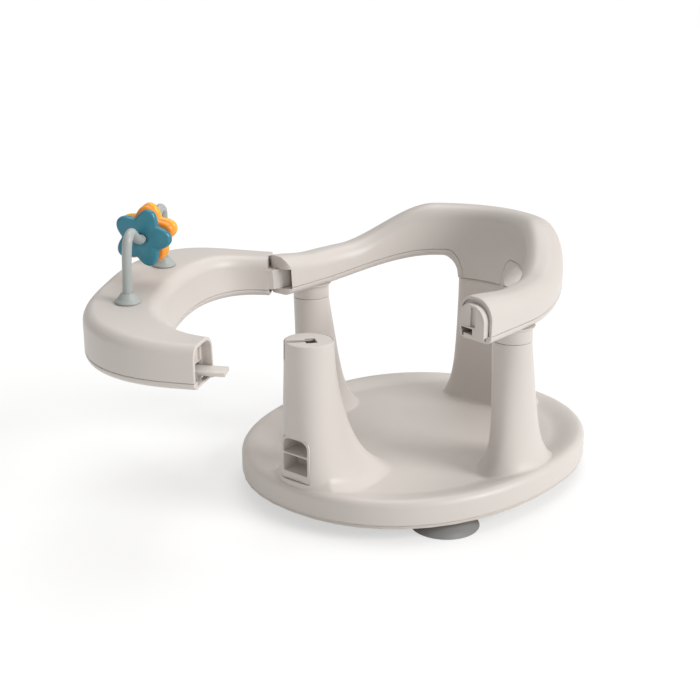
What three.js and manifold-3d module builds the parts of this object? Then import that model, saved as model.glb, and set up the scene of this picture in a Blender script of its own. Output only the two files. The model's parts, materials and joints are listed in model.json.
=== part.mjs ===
import * as THREE from "three";
import { mergeVertices } from "three/addons/utils/BufferGeometryUtils.js";
import Module from "manifold-3d";

const wasm = await Module();
wasm.setup();

// Baby bath seat: a round base with four posts, an open ring that the child leans in, and a play tray
// that swings about a hinge on the left arm and latches on the right arm.
// Millimetres, +Z up, +X towards the child's left hand, -Y to the front.
// The origin is the middle of the base plate's flat underside, and the part stands with its tray open.

// General sizes
const wall = 3;
const coverWall = 2.5;
const fitGap = 0.3;
const slideGap = 0.6;
const cutOverrun = 6;
const screwRadius = 1.5;
const screwHeadRadius = 3.2;
const screwHeadHeight = 1.6;
const screwLength = 11;
const screwBossRadius = 4;

// Base
const baseHalfWidth = 165;
const baseFrontLength = 209;
const baseRearLength = 179;
const baseWidestY = 15;
const basePower = 2.2;
const baseTop = 27;
const basePlateThickness = 3;
const baseEdgeRadius = 7;
const seatDish = 6;
const seatLipWidth = 14;
const basePlateInset = 0.8;
const baseScrewShare = 0.78;
const baseScrewDegrees = [30, 150, 210, 243, 297, 330];

// Suction cups
const cupRadius = 34;
const cupHeight = 14;
const cupLipThickness = 1.6;
const cupNeckRadius = 6;
const cupHeadRadius = 9;
const cupHeadHeight = 3;
const cupBossRadius = 22;
const cupBossHeight = 3;
const cupFrontX = 110;
const cupFrontY = -98;
const cupRearX = 98;
const cupRearY = 100;

// Front post between the legs
const frontPostY = -167;
const frontPostRadius = 23.6;
const frontPostTop = 165.6;
const frontPostTaperWidth = 9;
const frontPostTaperLength = 24;
const frontPostFillet = 10;

// Posts under the two arms
const sidePostX = 128;
const sidePostY = -18.4;
const sidePostRadius = 19.2;
const sidePostTop = 155.6;
const sidePostRake = 17.5;
const sidePostFillet = 14;
const spigotInset = 4.5;
const spigotHeight = 9;

// Post behind the child
const rearPostInnerY = 127.5;
const rearPostOuterY = 164.5;
const rearPostHalfWidth = 39.5;
const rearPostWedge = 6.5;
const rearPostBow = 7;
const rearPostTop = 162.5;
const rearPostSpread = 13;
const rearPostFillet = 12;

// Ring
const ringInnerHalfWidth = 107.8;
const ringWidth = 40;
const ringInnerDepth = 147;
const ringOuterDepth = 185;
const ringCentreY = -20;
const ringEndY = -80;
const endSkew = 7;
const ringBottom = 170;
const ringSeamRise = 8;
const ringEdgeRadius = 7;
const armCrest = 205.5;
const armEndRise = 5.5;
const shoulderRise = 6;
const backRise = 33.5;
const archRise = 18;
const innerCrownRadius = 15;
const outerCrownRadius = 19;
const coverLip = 3;

// Hinge on the left arm
const hingeX = -127.8;
const hingeY = -64;
const hingeZ = 190;
const hingeLean = 3.9;
const hingeLeanTowards = -94;
const openAngle = 58;
const noseReach = 11.5;
const noseCornerWidth = 9;
const noseCornerLength = 6;
const knuckleRadius = 10;
const knuckleBottom = -12.6;
const knuckleTop = 8;
const knuckleInnerReach = 18.2;
const knuckleInnerShoulder = 6.5;
const knuckleOuterReach = 16;
const hingePinRadius = 3;
const hingePinBottom = -18.5;
const hingePinTop = 15;

// Tray
const trayInnerHalfWidth = 107.8;
const trayOuterHalfWidth = 147.8;
const trayInnerDepth = 63;
const trayInnerCentreY = -78;
const trayInnerPower = 2.4;
const trayOuterDepth = 131;
const trayOuterCentreY = -85;
const trayOuterPower = 2.8;
const trayBottom = 169;
const traySeamRise = 7;
const trayEdgeRadius = 6;
const trayEndCrest = 209;
const trayCrestRise = 4;
const trayInnerLean = 5;
const trayEndLean = 1.5;
const trayInnerCrown = 14;
const trayOuterCrown = 11;
const trayEndRecess = 9;

// Docking key under the tray and its slot in the front post
const keyStemWidth = 5.5;
const keyHeadWidth = 13;
const keyHeadHeight = 4;
const keyDrop = 12.5;
const keyHalfSweep = 3;
const keyAside = 3.4;
const keyAhead = 1.5;
const keySlotSweep = 14;
const keyWellSweep = 3.5;
const keyHoleSweepGap = 0.2;
const postCapHeight = 14;
const postCapRim = 1.2;

// Pocket in the front post
const pocketHalfWidth = 17.5;
const pocketBottom = 31;
const pocketTop = 75;
const pocketDepth = 15;
const pocketFrame = 2;
const pocketWall = 1.6;
const pocketShelfZ = 57;
const pocketCornerRadius = 9;
const pocketSill = 5;

// Latch on the right arm
const latchX = 120.5;
const latchWidth = 16;
const latchTongueBottom = 176.2;
const latchTongueThickness = 3.4;
const latchHookDrop = 1.6;
const latchHookLength = 5;
const latchTipY = -66;
const latchPivotY = -101;
const latchPinRadius = 1.6;
const latchHubRadius = 4;
const latchTabY = -94;
const latchTabDepth = 4;
const latchTabDrop = 6;
const latchTabRoom = 2.5;
const latchOpenSideGap = 1;
const receiverSlotBottom = 175.6;
const receiverSlotTop = 183;
const receiverNose = 7;
const receiverEdgeRadius = 2.5;
const receiverBack = -52;
const receiverGrooveWidth = 7;
const receiverGrooveDepth = 4;
const latchTail = 9;
const springThickness = 0.7;
const springWidth = 8;

// Toy bar and flowers
const toyFootX = 58;
const toyFootY = -171.5;
const toyFootRadius = 12;
const toyFootTopRadius = 5.6;
const toyFootHeight = 9;
const toySocketDepth = 6;
const toyBarRadius = 4.4;
const toyBarLegTop = 46;
const toyBarBendHeight = 61;
const toyBarBendX = 45;
const toyBarDip = 13.5;
const toyBarFlatX = 19;
const toyBarLean = 2;
const flowerTipRadius = 28;
const flowerValleyRadius = 19.5;
const flowerThickness = 9.8;
const flowerEdge = 3.2;
const flowerSpacing = 10.8;
const flowerBoreGap = 0.6;
const flowerTurn = 13;

const roundSteps = 22;
const smallRoundSteps = 8;
const hingeSteps = 40;
const outlineSteps = 48;
const postSteps = 24;
const hollowSteps = 16;
const crownSteps = 4;
const edgeSteps = 2;

const up = new THREE.Vector3(0, 0, 1);

// Closed meshes and solids

function solidOf(geometry) {
  const bare = geometry.clone();
  bare.deleteAttribute("normal");
  bare.deleteAttribute("uv");
  const merged = mergeVertices(bare, 1e-4);
  const mesh = new wasm.Mesh({
    numProp: 3,
    vertProperties: new Float32Array(merged.attributes.position.array),
    triVerts: new Uint32Array(merged.index.array),
  });
  return new wasm.Manifold(mesh);
}

function geometryOf(solid) {
  const mesh = solid.getMesh();
  const geometry = new THREE.BufferGeometry();
  geometry.setAttribute("position", new THREE.BufferAttribute(mesh.vertProperties, 3));
  geometry.setIndex(new THREE.BufferAttribute(mesh.triVerts, 1));
  geometry.computeVertexNormals();
  return geometry;
}

// Skins rings of equally many points and closes both ends; the skin faces outwards whichever way the rings run.
function skin(rings, flatten = (point) => new THREE.Vector2(point.x, point.y)) {
  const count = rings[0].length;
  const positions = rings.flatMap((ring) => ring.flatMap((point) => [point.x, point.y, point.z]));
  const faces = [];
  for (let row = 0; row + 1 < rings.length; row += 1) {
    for (let step = 0; step < count; step += 1) {
      const here = row * count + step;
      const next = row * count + ((step + 1) % count);
      faces.push([here, next, next + count], [here, next + count, here + count]);
    }
  }
  const first = THREE.ShapeUtils.triangulateShape(orderedFlat(rings[0], flatten), []);
  const turnedFirst = THREE.ShapeUtils.isClockWise(rings[0].map(flatten));
  const last = THREE.ShapeUtils.triangulateShape(orderedFlat(rings[rings.length - 1], flatten), []);
  const start = (rings.length - 1) * count;
  const index = (value) => (turnedFirst ? count - 1 - value : value);
  for (const [a, b, c] of first) {
    const face = [index(a), index(b), index(c)];
    faces.push(turnedFirst ? face : face.reverse());
  }
  for (const [a, b, c] of last) {
    const face = [start + index(a), start + index(b), start + index(c)];
    faces.push(turnedFirst ? face.reverse() : face);
  }
  const geometry = new THREE.BufferGeometry();
  geometry.setAttribute("position", new THREE.Float32BufferAttribute(positions, 3));
  geometry.setIndex(faces.flat());
  return signedVolume(positions, faces) < 0 ? flipped(geometry, faces) : geometry;
}

function orderedFlat(ring, flatten) {
  const points = ring.map(flatten);
  return THREE.ShapeUtils.isClockWise(points) ? points.reverse() : points;
}

function signedVolume(positions, faces) {
  const corner = (index) => new THREE.Vector3().fromArray(positions, index * 3);
  return faces.reduce((sum, [a, b, c]) => sum + corner(a).dot(corner(b).cross(corner(c))), 0);
}

function flipped(geometry, faces) {
  geometry.setIndex(faces.map(([a, b, c]) => [a, c, b]).flat());
  return geometry;
}

function box(minX, maxX, minY, maxY, minZ, maxZ) {
  const geometry = new THREE.BoxGeometry(maxX - minX, maxY - minY, maxZ - minZ);
  geometry.translate((minX + maxX) / 2, (minY + maxY) / 2, (minZ + maxZ) / 2);
  return solidOf(geometry);
}

function rod(radius, x, y, minZ, maxZ, steps = roundSteps, topRadius = radius) {
  const geometry = new THREE.CylinderGeometry(topRadius, radius, maxZ - minZ, steps);
  geometry.rotateX(Math.PI / 2);
  geometry.translate(x, y, (minZ + maxZ) / 2);
  return solidOf(geometry);
}

function rodAlongX(radius, minX, maxX, y, z, steps = smallRoundSteps) {
  const geometry = new THREE.CylinderGeometry(radius, radius, maxX - minX, steps);
  geometry.rotateZ(Math.PI / 2);
  geometry.translate((minX + maxX) / 2, y, z);
  return solidOf(geometry);
}

function joined(solids) {
  return solids.reduce((whole, solid) => whole.add(solid));
}

function without(solid, cuts) {
  return cuts.reduce((left, cut) => left.subtract(cut), solid);
}

// Shapes and laws

function power(value, exponent) {
  return Math.sign(value) * Math.abs(value) ** exponent;
}

function smooth(value) {
  const share = Math.min(Math.max(value, 0), 1);
  return share * share * (3 - 2 * share);
}

function radians(degrees) {
  return THREE.MathUtils.degToRad(degrees);
}

// A closed outline at one height: a superellipse whose halves front and rear can differ.
function outline(z, halfWidth, frontLength, rearLength, centreY, exponent, steps = outlineSteps) {
  return Array.from({ length: steps }, (_, step) => {
    const angle = (step / steps) * Math.PI * 2;
    const across = power(Math.cos(angle), 2 / exponent);
    const along = power(Math.sin(angle), 2 / exponent);
    const length = along < 0 ? frontLength : rearLength;
    return new THREE.Vector3(halfWidth * across, centreY + length * along, z);
  });
}

function baseOutline(z, inset) {
  return outline(
    z,
    baseHalfWidth - inset,
    baseFrontLength - inset,
    baseRearLength - inset,
    baseWidestY,
    basePower,
  );
}

// Base

// The disc's skin, drawn in by an inset all round: rim, rounded edge, lip and shallow dish.
function discSkin(inset, bottom) {
  const top = baseTop - inset;
  const rings = [baseOutline(bottom, inset), baseOutline(top - baseEdgeRadius, inset)];
  for (const degrees of [30, 60, 90]) {
    const angle = radians(degrees);
    const drawn = baseEdgeRadius * (1 - Math.cos(angle));
    rings.push(baseOutline(top - baseEdgeRadius * (1 - Math.sin(angle)), inset + drawn));
  }
  for (const share of [0.33, 0.67, 1]) {
    const drawn = baseEdgeRadius + seatLipWidth * share * 2;
    rings.push(baseOutline(top - seatDish * smooth(share), inset + drawn));
  }
  rings.push(baseOutline(top - seatDish, baseHalfWidth - wall));
  return solidOf(skin(rings));
}

// How far a post's side has spread at a share of the way down: a steady taper and a fillet at the foot.
function spread(share, taper, taperPower, fillet) {
  return taper * share ** taperPower + fillet * share ** 8;
}

const postShares = [0, 0.2, 0.4, 0.6, 0.75, 0.87, 0.94, 1];

function postRings(top, ringAt) {
  const foot = baseTop - seatDish;
  return postShares.map((share) => ringAt(top - (top - foot) * share, share));
}

function frontPostRing(z, share, inset, steps = postSteps) {
  const halfWidth = frontPostRadius - inset + spread(share, frontPostTaperWidth, 2, frontPostFillet);
  const growth = spread(share, frontPostTaperLength, 2, frontPostFillet);
  const halfLength = frontPostRadius - inset + growth;
  return outline(z, halfWidth, halfLength, halfLength, frontPostY + growth, 2, steps);
}

function sidePostRing(z, share, inset, steps = postSteps) {
  const growth = spread(share, sidePostRake, 1, sidePostFillet);
  const halfWidth = sidePostRadius - inset + spread(share, 0, 1, sidePostFillet);
  const halfLength = sidePostRadius - inset + growth;
  const centreY = sidePostY + spread(share, sidePostRake, 1, 0);
  return outline(z, halfWidth, halfLength, halfLength, centreY, 2, steps);
}

// The rear post is a bowed wedge, wider on its outer face, that carries on the ring's curve.
function rearPostRing(z, share, inset, steps = postSteps) {
  const halfLength = (rearPostOuterY - rearPostInnerY) / 2 - inset + spread(share, 0, 1, rearPostFillet);
  const halfWidth = rearPostHalfWidth - inset + spread(share, rearPostSpread, 1.5, rearPostFillet);
  const centreY = (rearPostOuterY + rearPostInnerY) / 2;
  return outline(z, 1, 1, 1, 0, 3.6, steps).map((point) => {
    const x = point.x * (halfWidth + rearPostWedge * point.y);
    const bow = rearPostBow * (x / halfWidth) ** 2;
    return new THREE.Vector3(x, centreY + halfLength * point.y - bow, z);
  });
}

function movedRings(rings, x) {
  return rings.map((ring) => ring.map((point) => new THREE.Vector3(point.x + x, point.y, point.z)));
}

// A post's skin with a straight part above its seam and another that runs down into the base.
function postSolid(ringAt, top, headroom, bottom, x) {
  const rings = postRings(top, ringAt);
  const below = ringAt(bottom, 1);
  const above = ringAt(top + headroom, 0);
  const all = [above, ...rings, below];
  return solidOf(skin(movedRings(headroom > 0 ? all : all.slice(1), x)));
}

function posts(inset, bottom, steps) {
  const side = (z, share) => sidePostRing(z, share, inset, steps);
  return [
    postSolid((z, share) => frontPostRing(z, share, inset, steps), frontPostTop, 0, bottom, 0),
    postSolid(side, sidePostTop, 0, bottom, sidePostX),
    postSolid(side, sidePostTop, 0, bottom, -sidePostX),
    postSolid((z, share) => rearPostRing(z, share, inset, steps), rearPostTop, 0, bottom, 0),
  ];
}

// The spigots that the ring's collars and its rear foot push on to.
function spigots(inset, z0, z1) {
  const ringAt = (z) => sidePostRing(z, 0, inset);
  const side = skin(movedRings([ringAt(z0), ringAt(z1)], sidePostX));
  const other = skin(movedRings([ringAt(z0), ringAt(z1)], -sidePostX));
  const lift = rearPostTop - sidePostTop;
  const rear = skin([rearPostRing(z0 + lift, 0, inset), rearPostRing(z1 + lift, 0, inset)]);
  return [side, other, rear].map(solidOf);
}

function baseScrewPlaces() {
  return baseScrewDegrees.map((degrees) => {
    const angle = radians(degrees);
    const x = baseHalfWidth * baseScrewShare * Math.cos(angle);
    const reach = Math.sin(angle) < 0 ? baseFrontLength : baseRearLength;
    return [x, baseWidestY + reach * baseScrewShare * Math.sin(angle)];
  });
}

function pocketOpening(inset, back) {
  return pocketBlock(inset, frontPostY - frontPostRadius - cutOverrun, back);
}

function baseShell() {
  const bottom = basePlateThickness + fitGap;
  const outer = joined([discSkin(0, bottom), ...posts(0, bottom, postSteps)]);
  const inner = joined([discSkin(wall, bottom - cutOverrun), ...posts(wall, bottom - cutOverrun, hollowSteps)]);
  const caps = [sidePostX, -sidePostX].map((x) => {
    const rings = [sidePostRing(sidePostTop - wall, 0, wall / 2), sidePostRing(sidePostTop, 0, wall / 2)];
    return solidOf(skin(movedRings(rings, x)));
  });
  const rearCap = skin([rearPostRing(rearPostTop - wall, 0, wall / 2), rearPostRing(rearPostTop, 0, wall / 2)]);
  const spigot = spigots(spigotInset, sidePostTop - wall, sidePostTop + spigotHeight);
  const bosses = baseScrewPlaces().map(([x, y]) =>
    rod(screwBossRadius, x, y, bottom, baseTop - seatDish - wall / 2, smallRoundSteps),
  );
  const capWell = postCapWell(fitGap);
  const pocketBack = frontPostY - frontPostRadius + pocketDepth + fitGap;
  const solid = joined([without(outer, [inner]), ...caps, solidOf(rearCap), ...spigot, ...bosses, pocketBox(pocketBack)]);
  const holes = baseScrewPlaces().map(([x, y]) =>
    rod(screwRadius + fitGap, x, y, -cutOverrun, basePlateThickness / 2 + screwLength + fitGap, smallRoundSteps),
  );
  return without(solid, [...holes, capWell, pocketOpening(-fitGap, pocketBack), ...keySlot()]);
}

// Walls behind the pocket, kept within the post.
function pocketBox(back) {
  const half = pocketHalfWidth + wall;
  const block = box(-half, half, frontPostY - frontPostRadius, back + wall, pocketBottom - wall, pocketTop + wall);
  const within = postSolid((z, share) => frontPostRing(z, share, fitGap), frontPostTop, 0, 0, 0);
  return block.intersect(within);
}

function postCapWell(gap) {
  const outer = (z) => frontPostRing(z, 0, postCapRim - gap);
  return solidOf(skin([outer(frontPostTop - postCapHeight - gap), outer(frontPostTop + cutOverrun)]));
}

function basePlate() {
  const plate = solidOf(skin([baseOutline(0, basePlateInset), baseOutline(basePlateThickness, basePlateInset)]));
  const bosses = cupPlaces().map(([x, y]) => rod(cupBossRadius, x, y, -cupBossHeight, basePlateThickness / 2));
  const holes = cupPlaces().map(([x, y]) =>
    rod(cupNeckRadius + fitGap, x, y, -cupBossHeight - cutOverrun, basePlateThickness + cutOverrun),
  );
  const screwHoles = baseScrewPlaces().map(([x, y]) => screwHole(x, y, basePlateThickness / 2));
  return without(joined([plate, ...bosses]), [...holes, ...screwHoles]);
}

function cupPlaces() {
  return [
    [cupFrontX, cupFrontY],
    [-cupFrontX, cupFrontY],
    [cupRearX, cupRearY],
    [-cupRearX, cupRearY],
  ];
}

// A cup is turned: thin lip, domed skirt, neck through the plate and a head that holds it there.
function suctionCup() {
  const top = -cupBossHeight - fitGap;
  const shoulder = cupBossRadius * 0.6;
  const headBottom = basePlateThickness + fitGap;
  const profile = [
    [0, top - wall],
    [shoulder, top - wall * 1.2],
    [cupRadius * 0.75, -cupHeight * 0.72],
    [cupRadius - cupLipThickness * 1.5, -cupHeight],
    [cupRadius, -cupHeight],
    [cupRadius, -cupHeight + cupLipThickness],
    [cupRadius * 0.84, -cupHeight * 0.68],
    [shoulder + wall, top - wall * 0.3],
    [shoulder, top],
    [cupNeckRadius, top],
    [cupNeckRadius, headBottom],
    [cupHeadRadius, headBottom],
    [cupHeadRadius * 0.9, headBottom + cupHeadHeight * 0.6],
    [cupHeadRadius * 0.5, headBottom + cupHeadHeight],
    [0, headBottom + cupHeadHeight],
  ];
  return turned(profile, roundSteps);
}

function turned(profile, steps) {
  const points = profile.map(([radius, z]) => new THREE.Vector2(radius, z));
  const geometry = new THREE.LatheGeometry(points, steps);
  geometry.rotateX(Math.PI / 2);
  return solidOf(geometry);
}

// A stepped hole for a screw's shank and head, the head's seat standing at a height.
function screwHole(x, y, seat) {
  const shank = rod(screwRadius + fitGap, x, y, seat - fitGap, seat + screwLength + fitGap, smallRoundSteps);
  const head = rod(screwHeadRadius + fitGap, x, y, seat - screwHeadHeight - cutOverrun * 2, seat + fitGap / 2, smallRoundSteps);
  return shank.add(head);
}

function screw() {
  const profile = [
    [0, -screwHeadHeight],
    [screwHeadRadius * 0.8, -screwHeadHeight],
    [screwHeadRadius, -screwHeadHeight * 0.4],
    [screwHeadRadius, 0],
    [screwRadius, 0],
    [screwRadius, screwLength - screwRadius],
    [0, screwLength],
  ];
  return turned(profile, smallRoundSteps);
}

// Front post cap, its key slot and the pocket insert

// A band of a circle about the hinge, square to its axis, or level with the second matrix below.
function hingeBand(radius, width, fromDegrees, toDegrees, minZ, maxZ, matrix = hingeMatrix) {
  const shape = new THREE.Shape();
  shape.absarc(0, 0, radius + width / 2, radians(fromDegrees), radians(toDegrees), false);
  shape.absarc(0, 0, radius - width / 2, radians(toDegrees), radians(fromDegrees), true);
  const geometry = new THREE.ExtrudeGeometry(shape, { depth: maxZ - minZ, bevelEnabled: false, curveSegments: 3 });
  geometry.translate(0, 0, minZ);
  return solidOf(geometry.applyMatrix4(matrix));
}

const hingeAxis = new THREE.Vector3(
  Math.sin(radians(hingeLean)) * Math.cos(radians(hingeLeanTowards)),
  Math.sin(radians(hingeLean)) * Math.sin(radians(hingeLeanTowards)),
  Math.cos(radians(hingeLean)),
);
const hingePoint = new THREE.Vector3(hingeX, hingeY, hingeZ);
const hingeMatrix = new THREE.Matrix4().compose(
  hingePoint,
  new THREE.Quaternion().setFromUnitVectors(up, hingeAxis),
  new THREE.Vector3(1, 1, 1),
);
const keyRadius = Math.hypot(hingeX, frontPostY - hingeY) + keyAside;
const keyDegrees = THREE.MathUtils.radToDeg(Math.atan2(frontPostY - hingeY, -hingeX)) - keyAhead;

function hingeSolid(solid) {
  return solid.transform(hingeMatrix.elements);
}

// Where the key stands in the hinge's frame, measured down from the tray's underside.
const keyPoint = new THREE.Vector3(0, frontPostY, trayBottom);
const keyTop = hingeAxis.dot(keyPoint.sub(hingePoint)) - slideGap * 1.5;
const keyBottom = keyTop - keyDrop;
const keyCentre = hingePoint.clone().addScaledVector(hingeAxis, keyTop);
const levelMatrix = new THREE.Matrix4().makeTranslation(keyCentre.x, keyCentre.y, 0);

// The slot lets the key in through the post's side and opens into a wider well where the key stops.
function keySlot() {
  const from = keyDegrees - keySlotSweep;
  const to = keyDegrees + keyHalfSweep + slideGap / 2;
  const stem = keyStemWidth + slideGap * 2;
  const head = keyHeadWidth + slideGap * 2;
  const high = keyTop + cutOverrun;
  return [
    hingeBand(keyRadius, stem, from, to, keyBottom, high),
    hingeBand(keyRadius, head, to - keyWellSweep, to, keyBottom, high),
    hingeBand(keyRadius, head, from, to, keyBottom - slideGap, keyBottom + keyHeadHeight + slideGap),
  ];
}

function frontPostCap() {
  const ring = (z, inset) => frontPostRing(z, 0, inset);
  const body = skin([
    ring(frontPostTop - postCapHeight, postCapRim),
    ring(frontPostTop - postCapRim, postCapRim),
    ring(frontPostTop, postCapRim * 2),
  ]);
  return without(solidOf(body), keySlot());
}

function roundedPocket(half, bottom, top, radius) {
  const shape = new THREE.Shape();
  shape.moveTo(-half, bottom);
  shape.lineTo(half, bottom);
  shape.lineTo(half, top - radius);
  shape.absarc(half - radius, top - radius, radius, 0, Math.PI / 2, false);
  shape.lineTo(-half + radius, top);
  shape.absarc(-half + radius, top - radius, radius, Math.PI / 2, Math.PI, false);
  return shape;
}

function pocketBlock(inset, front, back, sill = 0) {
  const shape = roundedPocket(
    pocketHalfWidth - inset,
    pocketBottom + inset + sill,
    pocketTop - inset,
    pocketCornerRadius - inset / 2,
  );
  const geometry = new THREE.ExtrudeGeometry(shape, { depth: back - front, bevelEnabled: false, curveSegments: 5 });
  geometry.rotateX(Math.PI / 2);
  geometry.translate(0, back, 0);
  return solidOf(geometry);
}

function frontPocket() {
  const postFront = frontPostY - frontPostRadius;
  const back = postFront + pocketDepth;
  const outer = pocketBlock(0, postFront - pocketFrame, back);
  const bow = postSolid((z, share) => frontPostRing(z, share, -pocketFrame / 2), frontPostTop, 0, 0, 0);
  const hollow = pocketBlock(pocketWall + pocketFrame / 2, postFront - cutOverrun, back - pocketWall, pocketSill);
  const shelf = box(
    -pocketHalfWidth + pocketWall,
    pocketHalfWidth - pocketWall,
    postFront + pocketFrame / 2,
    back - pocketWall / 2,
    pocketShelfZ - pocketWall / 2,
    pocketShelfZ + pocketWall / 2,
  );
  const shell = without(outer.intersect(bow), [hollow]);
  return joined([shell, shelf.intersect(bow)]);
}

// Ring

// A station of a swept shell: its edge points in plan, and its bottom, seam and top.
function ringHeights(degrees) {
  const mirrored = degrees > 90 ? 180 - degrees : degrees;
  const arch = ringBottom + archRise * smooth(mirrored / 52);
  const foot = smooth((mirrored - 64) / 9);
  const rearBottom = rearPostTop + fitGap;
  return {
    bottom: arch + (rearBottom - arch) * foot,
    seam: arch + ringSeamRise,
    top: armCrest + shoulderRise * smooth(mirrored / 60) + backRise * smooth((mirrored - 28) / 36),
  };
}

const ringSteps = [0, 6, 12, 18, 24, 29, 33, 37, 41, 45, 49, 53, 57, 61, 64, 66.5, 68.5, 70.5, 73, 77, 83, 90];

function ringStation(degrees) {
  const angle = radians(degrees);
  const inner = new THREE.Vector2(
    ringInnerHalfWidth * Math.cos(angle),
    ringCentreY + ringInnerDepth * Math.sin(angle),
  );
  const outer = new THREE.Vector2(
    (ringInnerHalfWidth + ringWidth) * Math.cos(angle),
    ringCentreY + ringOuterDepth * Math.sin(angle),
  );
  return { inner, outer, ...ringHeights(degrees) };
}

function armStation(side, y) {
  const share = (ringCentreY - y) / (ringCentreY - ringEndY);
  const skew = side > 0 ? endSkew * share : 0;
  return {
    inner: new THREE.Vector2(side * ringInnerHalfWidth, y),
    outer: new THREE.Vector2(side * (ringInnerHalfWidth + ringWidth), y - skew),
    bottom: ringBottom,
    seam: ringBottom + ringSeamRise,
    top: armCrest + armEndRise * smooth(share),
  };
}

function ringStations() {
  const right = [1, 0.75, 0.5, 0.25].map((share) => armStation(1, ringCentreY + (ringEndY - ringCentreY) * share));
  const left = [0.25, 0.5, 0.75, 1].map((share) => armStation(-1, ringCentreY + (forkEndY - ringCentreY) * share));
  const back = [...ringSteps, ...ringSteps.slice(0, -1).reverse().map((degrees) => 180 - degrees)];
  return [...right, ...back.map(ringStation), ...left];
}

const coverLipInset = wall + slideGap * 2;

// Section outlines are [across, height] points in a station's own plane.

function quarter(centreX, centreZ, radiusX, radiusZ, fromDegrees, toDegrees, steps) {
  return Array.from({ length: steps + 1 }, (_, step) => {
    const angle = radians(fromDegrees + ((toDegrees - fromDegrees) * step) / steps);
    return [centreX + radiusX * Math.cos(angle), centreZ + radiusZ * Math.sin(angle)];
  });
}

function crownSection(width, station, crown, inset) {
  const inner = crown.inner - inset;
  const outer = crown.outer - inset;
  const top = station.top - inset;
  const lean = station.lean ?? 0;
  return [
    [inset, station.seam],
    ...quarter(inset + lean + inner, top - inner, inner, inner, 180, 90, crownSteps),
    ...quarter(width - inset - outer, top - outer, outer, outer, 90, 0, crownSteps),
    [width - inset, station.seam],
  ];
}

function shellSection(width, station, crown) {
  return [...crownSection(width, station, crown, 0), ...crownSection(width, station, crown, wall).reverse()];
}

// Fills a shell's end; it stays within the shell's wall.
function solidSection(width, station, crown) {
  return crownSection(width, station, crown, wall / 2);
}

function fullSection(width, station, crown) {
  const above = crownSection(width, station, crown, 0).slice(1, -1);
  const edge = crown.edge;
  return [
    ...quarter(edge, station.bottom + edge, edge, edge, 270, 180, edgeSteps),
    ...above,
    ...quarter(width - edge, station.bottom + edge, edge, edge, 0, -90, edgeSteps),
  ];
}

// The cover is a shallow channel with a lip that stands inside the shell above it.
function coverSection(width, station, crown) {
  const edge = crown.edge;
  const seam = station.seam - fitGap;
  const step = coverLipInset;
  const lip = step + coverWall;
  const floor = station.bottom + coverWall;
  return [
    [0, seam],
    ...quarter(edge, station.bottom + edge, edge, edge, 180, 270, edgeSteps),
    ...quarter(width - edge, station.bottom + edge, edge, edge, 270, 360, edgeSteps),
    [width, seam],
    [width - step, seam],
    [width - step, station.seam + coverLip],
    [width - lip, station.seam + coverLip],
    [width - lip, floor],
    [lip, floor],
    [lip, station.seam + coverLip],
    [step, station.seam + coverLip],
    [step, seam],
  ];
}

function sweep(stations, sectionAt, crown) {
  const rings = stations.map((station) => {
    const across = station.outer.clone().sub(station.inner);
    const width = across.length();
    across.divideScalar(width);
    return sectionAt(width, station, crown).map(([distance, z]) => {
      const place = station.inner.clone().addScaledVector(across, distance);
      return new THREE.Vector3(place.x, place.y, z);
    });
  });
  const section = (station) => {
    const width = station.outer.distanceTo(station.inner);
    return sectionAt(width, station, crown).map(([distance, z]) => new THREE.Vector2(distance, z));
  };
  return solidOf(sweptSkin(rings, section(stations[0]), section(stations[stations.length - 1])));
}

// Skins rings whose ends are closed by their own flat sections.
function sweptSkin(rings, firstSection, lastSection) {
  const count = rings[0].length;
  const positions = rings.flatMap((ring) => ring.flatMap((point) => [point.x, point.y, point.z]));
  const faces = [];
  for (let row = 0; row + 1 < rings.length; row += 1) {
    for (let step = 0; step < count; step += 1) {
      const here = row * count + step;
      const next = row * count + ((step + 1) % count);
      faces.push([here, next, next + count], [here, next + count, here + count]);
    }
  }
  const start = (rings.length - 1) * count;
  faces.push(...capFaces(firstSection, 0, true), ...capFaces(lastSection, start, false));
  const geometry = new THREE.BufferGeometry();
  geometry.setAttribute("position", new THREE.Float32BufferAttribute(positions, 3));
  geometry.setIndex(faces.flat());
  return signedVolume(positions, faces) < 0 ? flipped(geometry, faces) : geometry;
}

function capFaces(section, start, first) {
  const clockwise = THREE.ShapeUtils.isClockWise(section);
  const ordered = clockwise ? [...section].reverse() : section;
  const index = (value) => start + (clockwise ? section.length - 1 - value : value);
  return THREE.ShapeUtils.triangulateShape(ordered, []).map(([a, b, c]) => {
    const face = [index(a), index(b), index(c)];
    return first === clockwise ? face : face.reverse();
  });
}

const ringCrown = { inner: innerCrownRadius, outer: outerCrownRadius, edge: ringEdgeRadius };

// Where a line from a corner touches a circle about the hinge, on its rear side or its outer side.
function touch(corner, radius, turn) {
  const angle = Math.atan2(corner.y, corner.x) + turn * Math.acos(radius / corner.length());
  return new THREE.Vector2(Math.cos(angle), Math.sin(angle)).multiplyScalar(radius);
}

const knuckleInner = new THREE.Vector2(knuckleInnerReach, -knuckleInnerShoulder);
const knuckleOuter = new THREE.Vector2(-knuckleOuterReach, -noseReach);
const forkEndY = hingeY - noseReach - wall;
const forkBack = hingeY + knuckleRadius + wall * 2;

function prism(points, minZ, maxZ) {
  const shape = points instanceof THREE.Shape ? points : new THREE.Shape(points);
  const geometry = new THREE.ExtrudeGeometry(shape, { depth: maxZ - minZ, bevelEnabled: false, curveSegments: 5 });
  geometry.translate(0, 0, minZ);
  return solidOf(geometry);
}

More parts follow.
